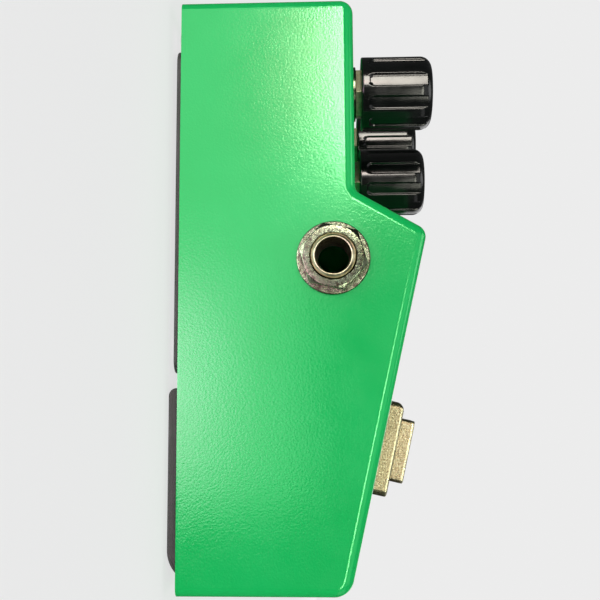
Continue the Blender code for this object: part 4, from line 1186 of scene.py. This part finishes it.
KEPT_NODES = {
    "zinc": (
        "base_plate",
        "door_hinge_pin",
        "switch_bracket",
        *(f"{name}_pot_body" for name in CONTROL_TURNS),
    ),
    "black_matt": (
        "battery_door",
        "battery_tray",
        "battery_snap",
        "battery_lead_black",
        "opamp_chip",
        "buffer_transistor_1",
        "buffer_transistor_2",
        "switch_body",
    ),
    "nickel": ("footswitch_nut", *(f"{name}_pot_shaft" for name in CONTROL_TURNS)),
    "board": ("circuit_board",),
    "sleeve": ("battery",),
    "red_dip": ("battery_lead_red", *(f"film_capacitor_{k}" for k in (1, 2, 3))),
    "blue_sleeve": tuple(f"electrolytic_capacitor_{k}" for k in (1, 2, 3)),
    "brass": ("output_tip_contact", "input_tip_contact"),
    "phenolic": ("output_contact_insulator", "input_contact_insulator", "switch_plunger"),
}

for look_name, node_names in KEPT_NODES.items():
    for node_name in node_names:
        node = NODES[node_name]
        node.data.materials.clear()
        node.data.materials.append(LOOKS[look_name])


# Floor, lights and camera


def make_floor():
    """A pale paper floor that glows a little, more so far away, where it meets the background."""
    bm = bmesh.new()
    bmesh.ops.create_grid(bm, x_segments=1, y_segments=1, size=6)
    floor = object_from("floor", bm)
    look = Look("floor_paper", (0.2, 0.2, 0.202), 0.9)
    look.colour(look.mottle(look.noise(0.6, 2), 0, 1, (0.19, 0.19, 0.192), (0.21, 0.21, 0.212)))
    look.set("Specular IOR Level", 0.0)
    look.set("Emission Color", (1, 1, 1, 1))
    distance = look.tree.nodes.new("ShaderNodeVectorMath")
    distance.operation = "LENGTH"
    look.tree.links.new(look.place, distance.inputs[0])
    look.set("Emission Strength", look.ramp(distance.outputs["Value"], 0.5, 2.0, 0.68, 0.8))
    floor.data.materials.append(look.material)
    floor.visible_glossy = False


def area_light(name, location, target, size, radiance, colour=(1, 1, 1), seen_in="all"):
    """A rectangular soft light of this width and height that faces target.

    One seen only in the gloss is a shape for the finishes to mirror, and one seen only in the
    diffuse light leaves no mirror image.
    """
    light = bpy.data.lights.new(name, "AREA")
    light.shape = "RECTANGLE"
    light.size, light.size_y = size
    light.energy = radiance * math.pi * size[0] * size[1]
    light.color = colour
    obj = bpy.data.objects.new(name, light)
    bpy.context.scene.collection.objects.link(obj)
    obj.location = location
    obj.rotation_euler = (Vector(target) - Vector(location)).to_track_quat("-Z", "Y").to_euler()
    obj.visible_camera = False
    obj.visible_diffuse = seen_in != "gloss"
    obj.visible_glossy = seen_in != "diffuse"
    return obj


def make_world():
    """Near white behind the object, soft grey in its lighting, and nearly dark above in its reflections."""
    world = bpy.data.worlds.new("studio")
    bpy.context.scene.world = world
    world.use_nodes = True
    tree = world.node_tree
    ray = tree.nodes.new("ShaderNodeLightPath").outputs
    height = split_node(tree, tree.nodes.new("ShaderNodeTexCoord").outputs["Generated"])["Z"]
    above, below, lighting, shown = ((grey, grey, grey) for grey in (0.07, 0.9, 0.2, 0.84))
    mirrored = mix_node(tree, ramp_node(tree, height, -0.25, -0.5), above, below)
    unseen = mix_node(tree, ray["Is Glossy Ray"], lighting, mirrored)
    colour = mix_node(tree, ray["Is Camera Ray"], unseen, shown)
    tree.links.new(colour, tree.nodes["Background"].inputs["Color"])


class Card:
    """A glowing card beside the object, seen only in its gloss, whose glow is a sum of soft patches."""

    def __init__(self, name, x, low, high):
        bm = bmesh.new()
        corners = ((low[0], low[1]), (high[0], low[1]), (high[0], high[1]), (low[0], high[1]))
        bm.faces.new([bm.verts.new((x, y, z)) for y, z in corners])
        self.card = object_from(name, bm)
        self.material = bpy.data.materials.new(name)
        self.material.use_nodes = True
        self.tree = self.material.node_tree
        self.tree.nodes.clear()
        place = split_node(self.tree, self.tree.nodes.new("ShaderNodeTexCoord").outputs["Object"])
        self.y, self.z = place["Y"], place["Z"]
        self.glow = None

    def fade(self, value, start, end):
        """Eases from 0 to 1 as a coordinate goes from start to end."""
        return ramp_node(self.tree, value, start, end, easing="SMOOTHERSTEP")

    def both(self, first, second):
        return math_node(self.tree, "MULTIPLY", first, second)

    def hump(self, value, middle, reach):
        """1 at the middle, easing to 0 at this distance on both sides."""
        return self.both(self.fade(value, middle - reach, middle), self.fade(value, middle + reach, middle))

    def add(self, amount, colour):
        """Adds a patch: a socket that gives its strength from 0 to 1, and its colour at 1."""
        scale = self.tree.nodes.new("ShaderNodeVectorMath")
        scale.operation = "SCALE"
        scale.inputs[0].default_value = colour
        self.tree.links.new(amount, scale.inputs["Scale"])
        glow = scale.outputs[0]
        if self.glow:
            total = self.tree.nodes.new("ShaderNodeVectorMath")
            self.tree.links.new(self.glow, total.inputs[0])
            self.tree.links.new(glow, total.inputs[1])
            glow = total.outputs[0]
        self.glow = glow

    def place(self):
        """Makes the card shine with its patches, in reflections only."""
        emission = self.tree.nodes.new("ShaderNodeEmission")
        output = self.tree.nodes.new("ShaderNodeOutputMaterial")
        self.tree.links.new(self.glow, emission.inputs["Color"])
        self.tree.links.new(emission.outputs["Emission"], output.inputs["Surface"])
        self.material.cycles.emission_sampling = "NONE"
        self.card.data.materials.append(self.material)
        self.card.visible_camera = False
        self.card.visible_diffuse = False
        self.card.visible_transmission = False
        self.card.visible_shadow = False


def make_side_card():
    """What the side face mirrors: a pale window, dark beyond its edges, with two brighter patches."""
    card = Card("side_card", -1.0, (-0.5, -0.6), (0.95, 0.5))
    over_front = card.fade(card.y, -0.18, -0.155)
    low = card.fade(card.z, 0.02, -0.02)
    rear = card.both(card.fade(card.y, 0.1, 0.16), card.fade(card.z, 0.11, 0.04))
    window = card.both(over_front, math_node(card.tree, "MAXIMUM", low, rear))
    card.add(window, (1.9, 1.9, 1.9))
    warm = card.both(card.hump(card.y, 0.43, 0.2), card.hump(card.z, 0.02, 0.09))
    card.add(warm, (8.0, 1.9, 2.9))
    cool = card.both(card.hump(card.y, -0.01, 0.24), card.fade(card.z, -0.05, -0.2))
    card.add(card.both(cool, over_front), (7.5, 2.4, 5.6))
    card.place()


def make_lights():
    middle = (0, 0, 25 * MM)
    area_light("top_softbox", (-0.1, 0.05, 1.1), middle, (1.2, 1.0), 1.3, seen_in="diffuse")
    area_light("side_softbox", (-1.0, 0.0, 0.25), middle, (0.9, 0.6), 2.4, seen_in="diffuse")
    area_light("right_fill", (1.1, -0.4, 0.45), middle, (1.0, 0.7), 1.4)
    area_light("front_fill", (-0.3, -1.2, 0.5), middle, (0.9, 0.6), 0.5)
    area_light("warm_window", (-0.78, 0.42, 0.1), middle, (0.42, 0.13), 19, (1, 0.95, 0.84), "gloss")
    area_light("edge_strip", (-0.95, -0.2, 0.27), middle, (0.8, 0.16), 11, (1, 1, 0.85), "gloss")
    area_light("top_window", (-0.1, 0.1, 1.0), middle, (0.5, 0.5), 2.0, seen_in="gloss")
    area_light("high_window", (-0.75, -0.1, 0.75), middle, (1.2, 0.7), 0.6, seen_in="gloss")
    area_light("under_glow", (-0.6, 0.12, -0.8), middle, (0.85, 0.8), 7, seen_in="gloss")


def make_camera():
    camera = bpy.data.cameras.new("camera")
    camera.lens = CAMERA_LENS
    camera.sensor_width = 36
    camera.clip_start = 0.001
    obj = bpy.data.objects.new("camera", camera)
    bpy.context.scene.collection.objects.link(obj)
    obj.location = CAMERA_PLACE
    obj.rotation_euler = [math.radians(angle) for angle in CAMERA_TURN]
    bpy.context.scene.camera = obj


make_floor()
make_world()
make_side_card()
make_lights()
make_camera()
bpy.context.scene.view_settings.view_transform = "Standard"
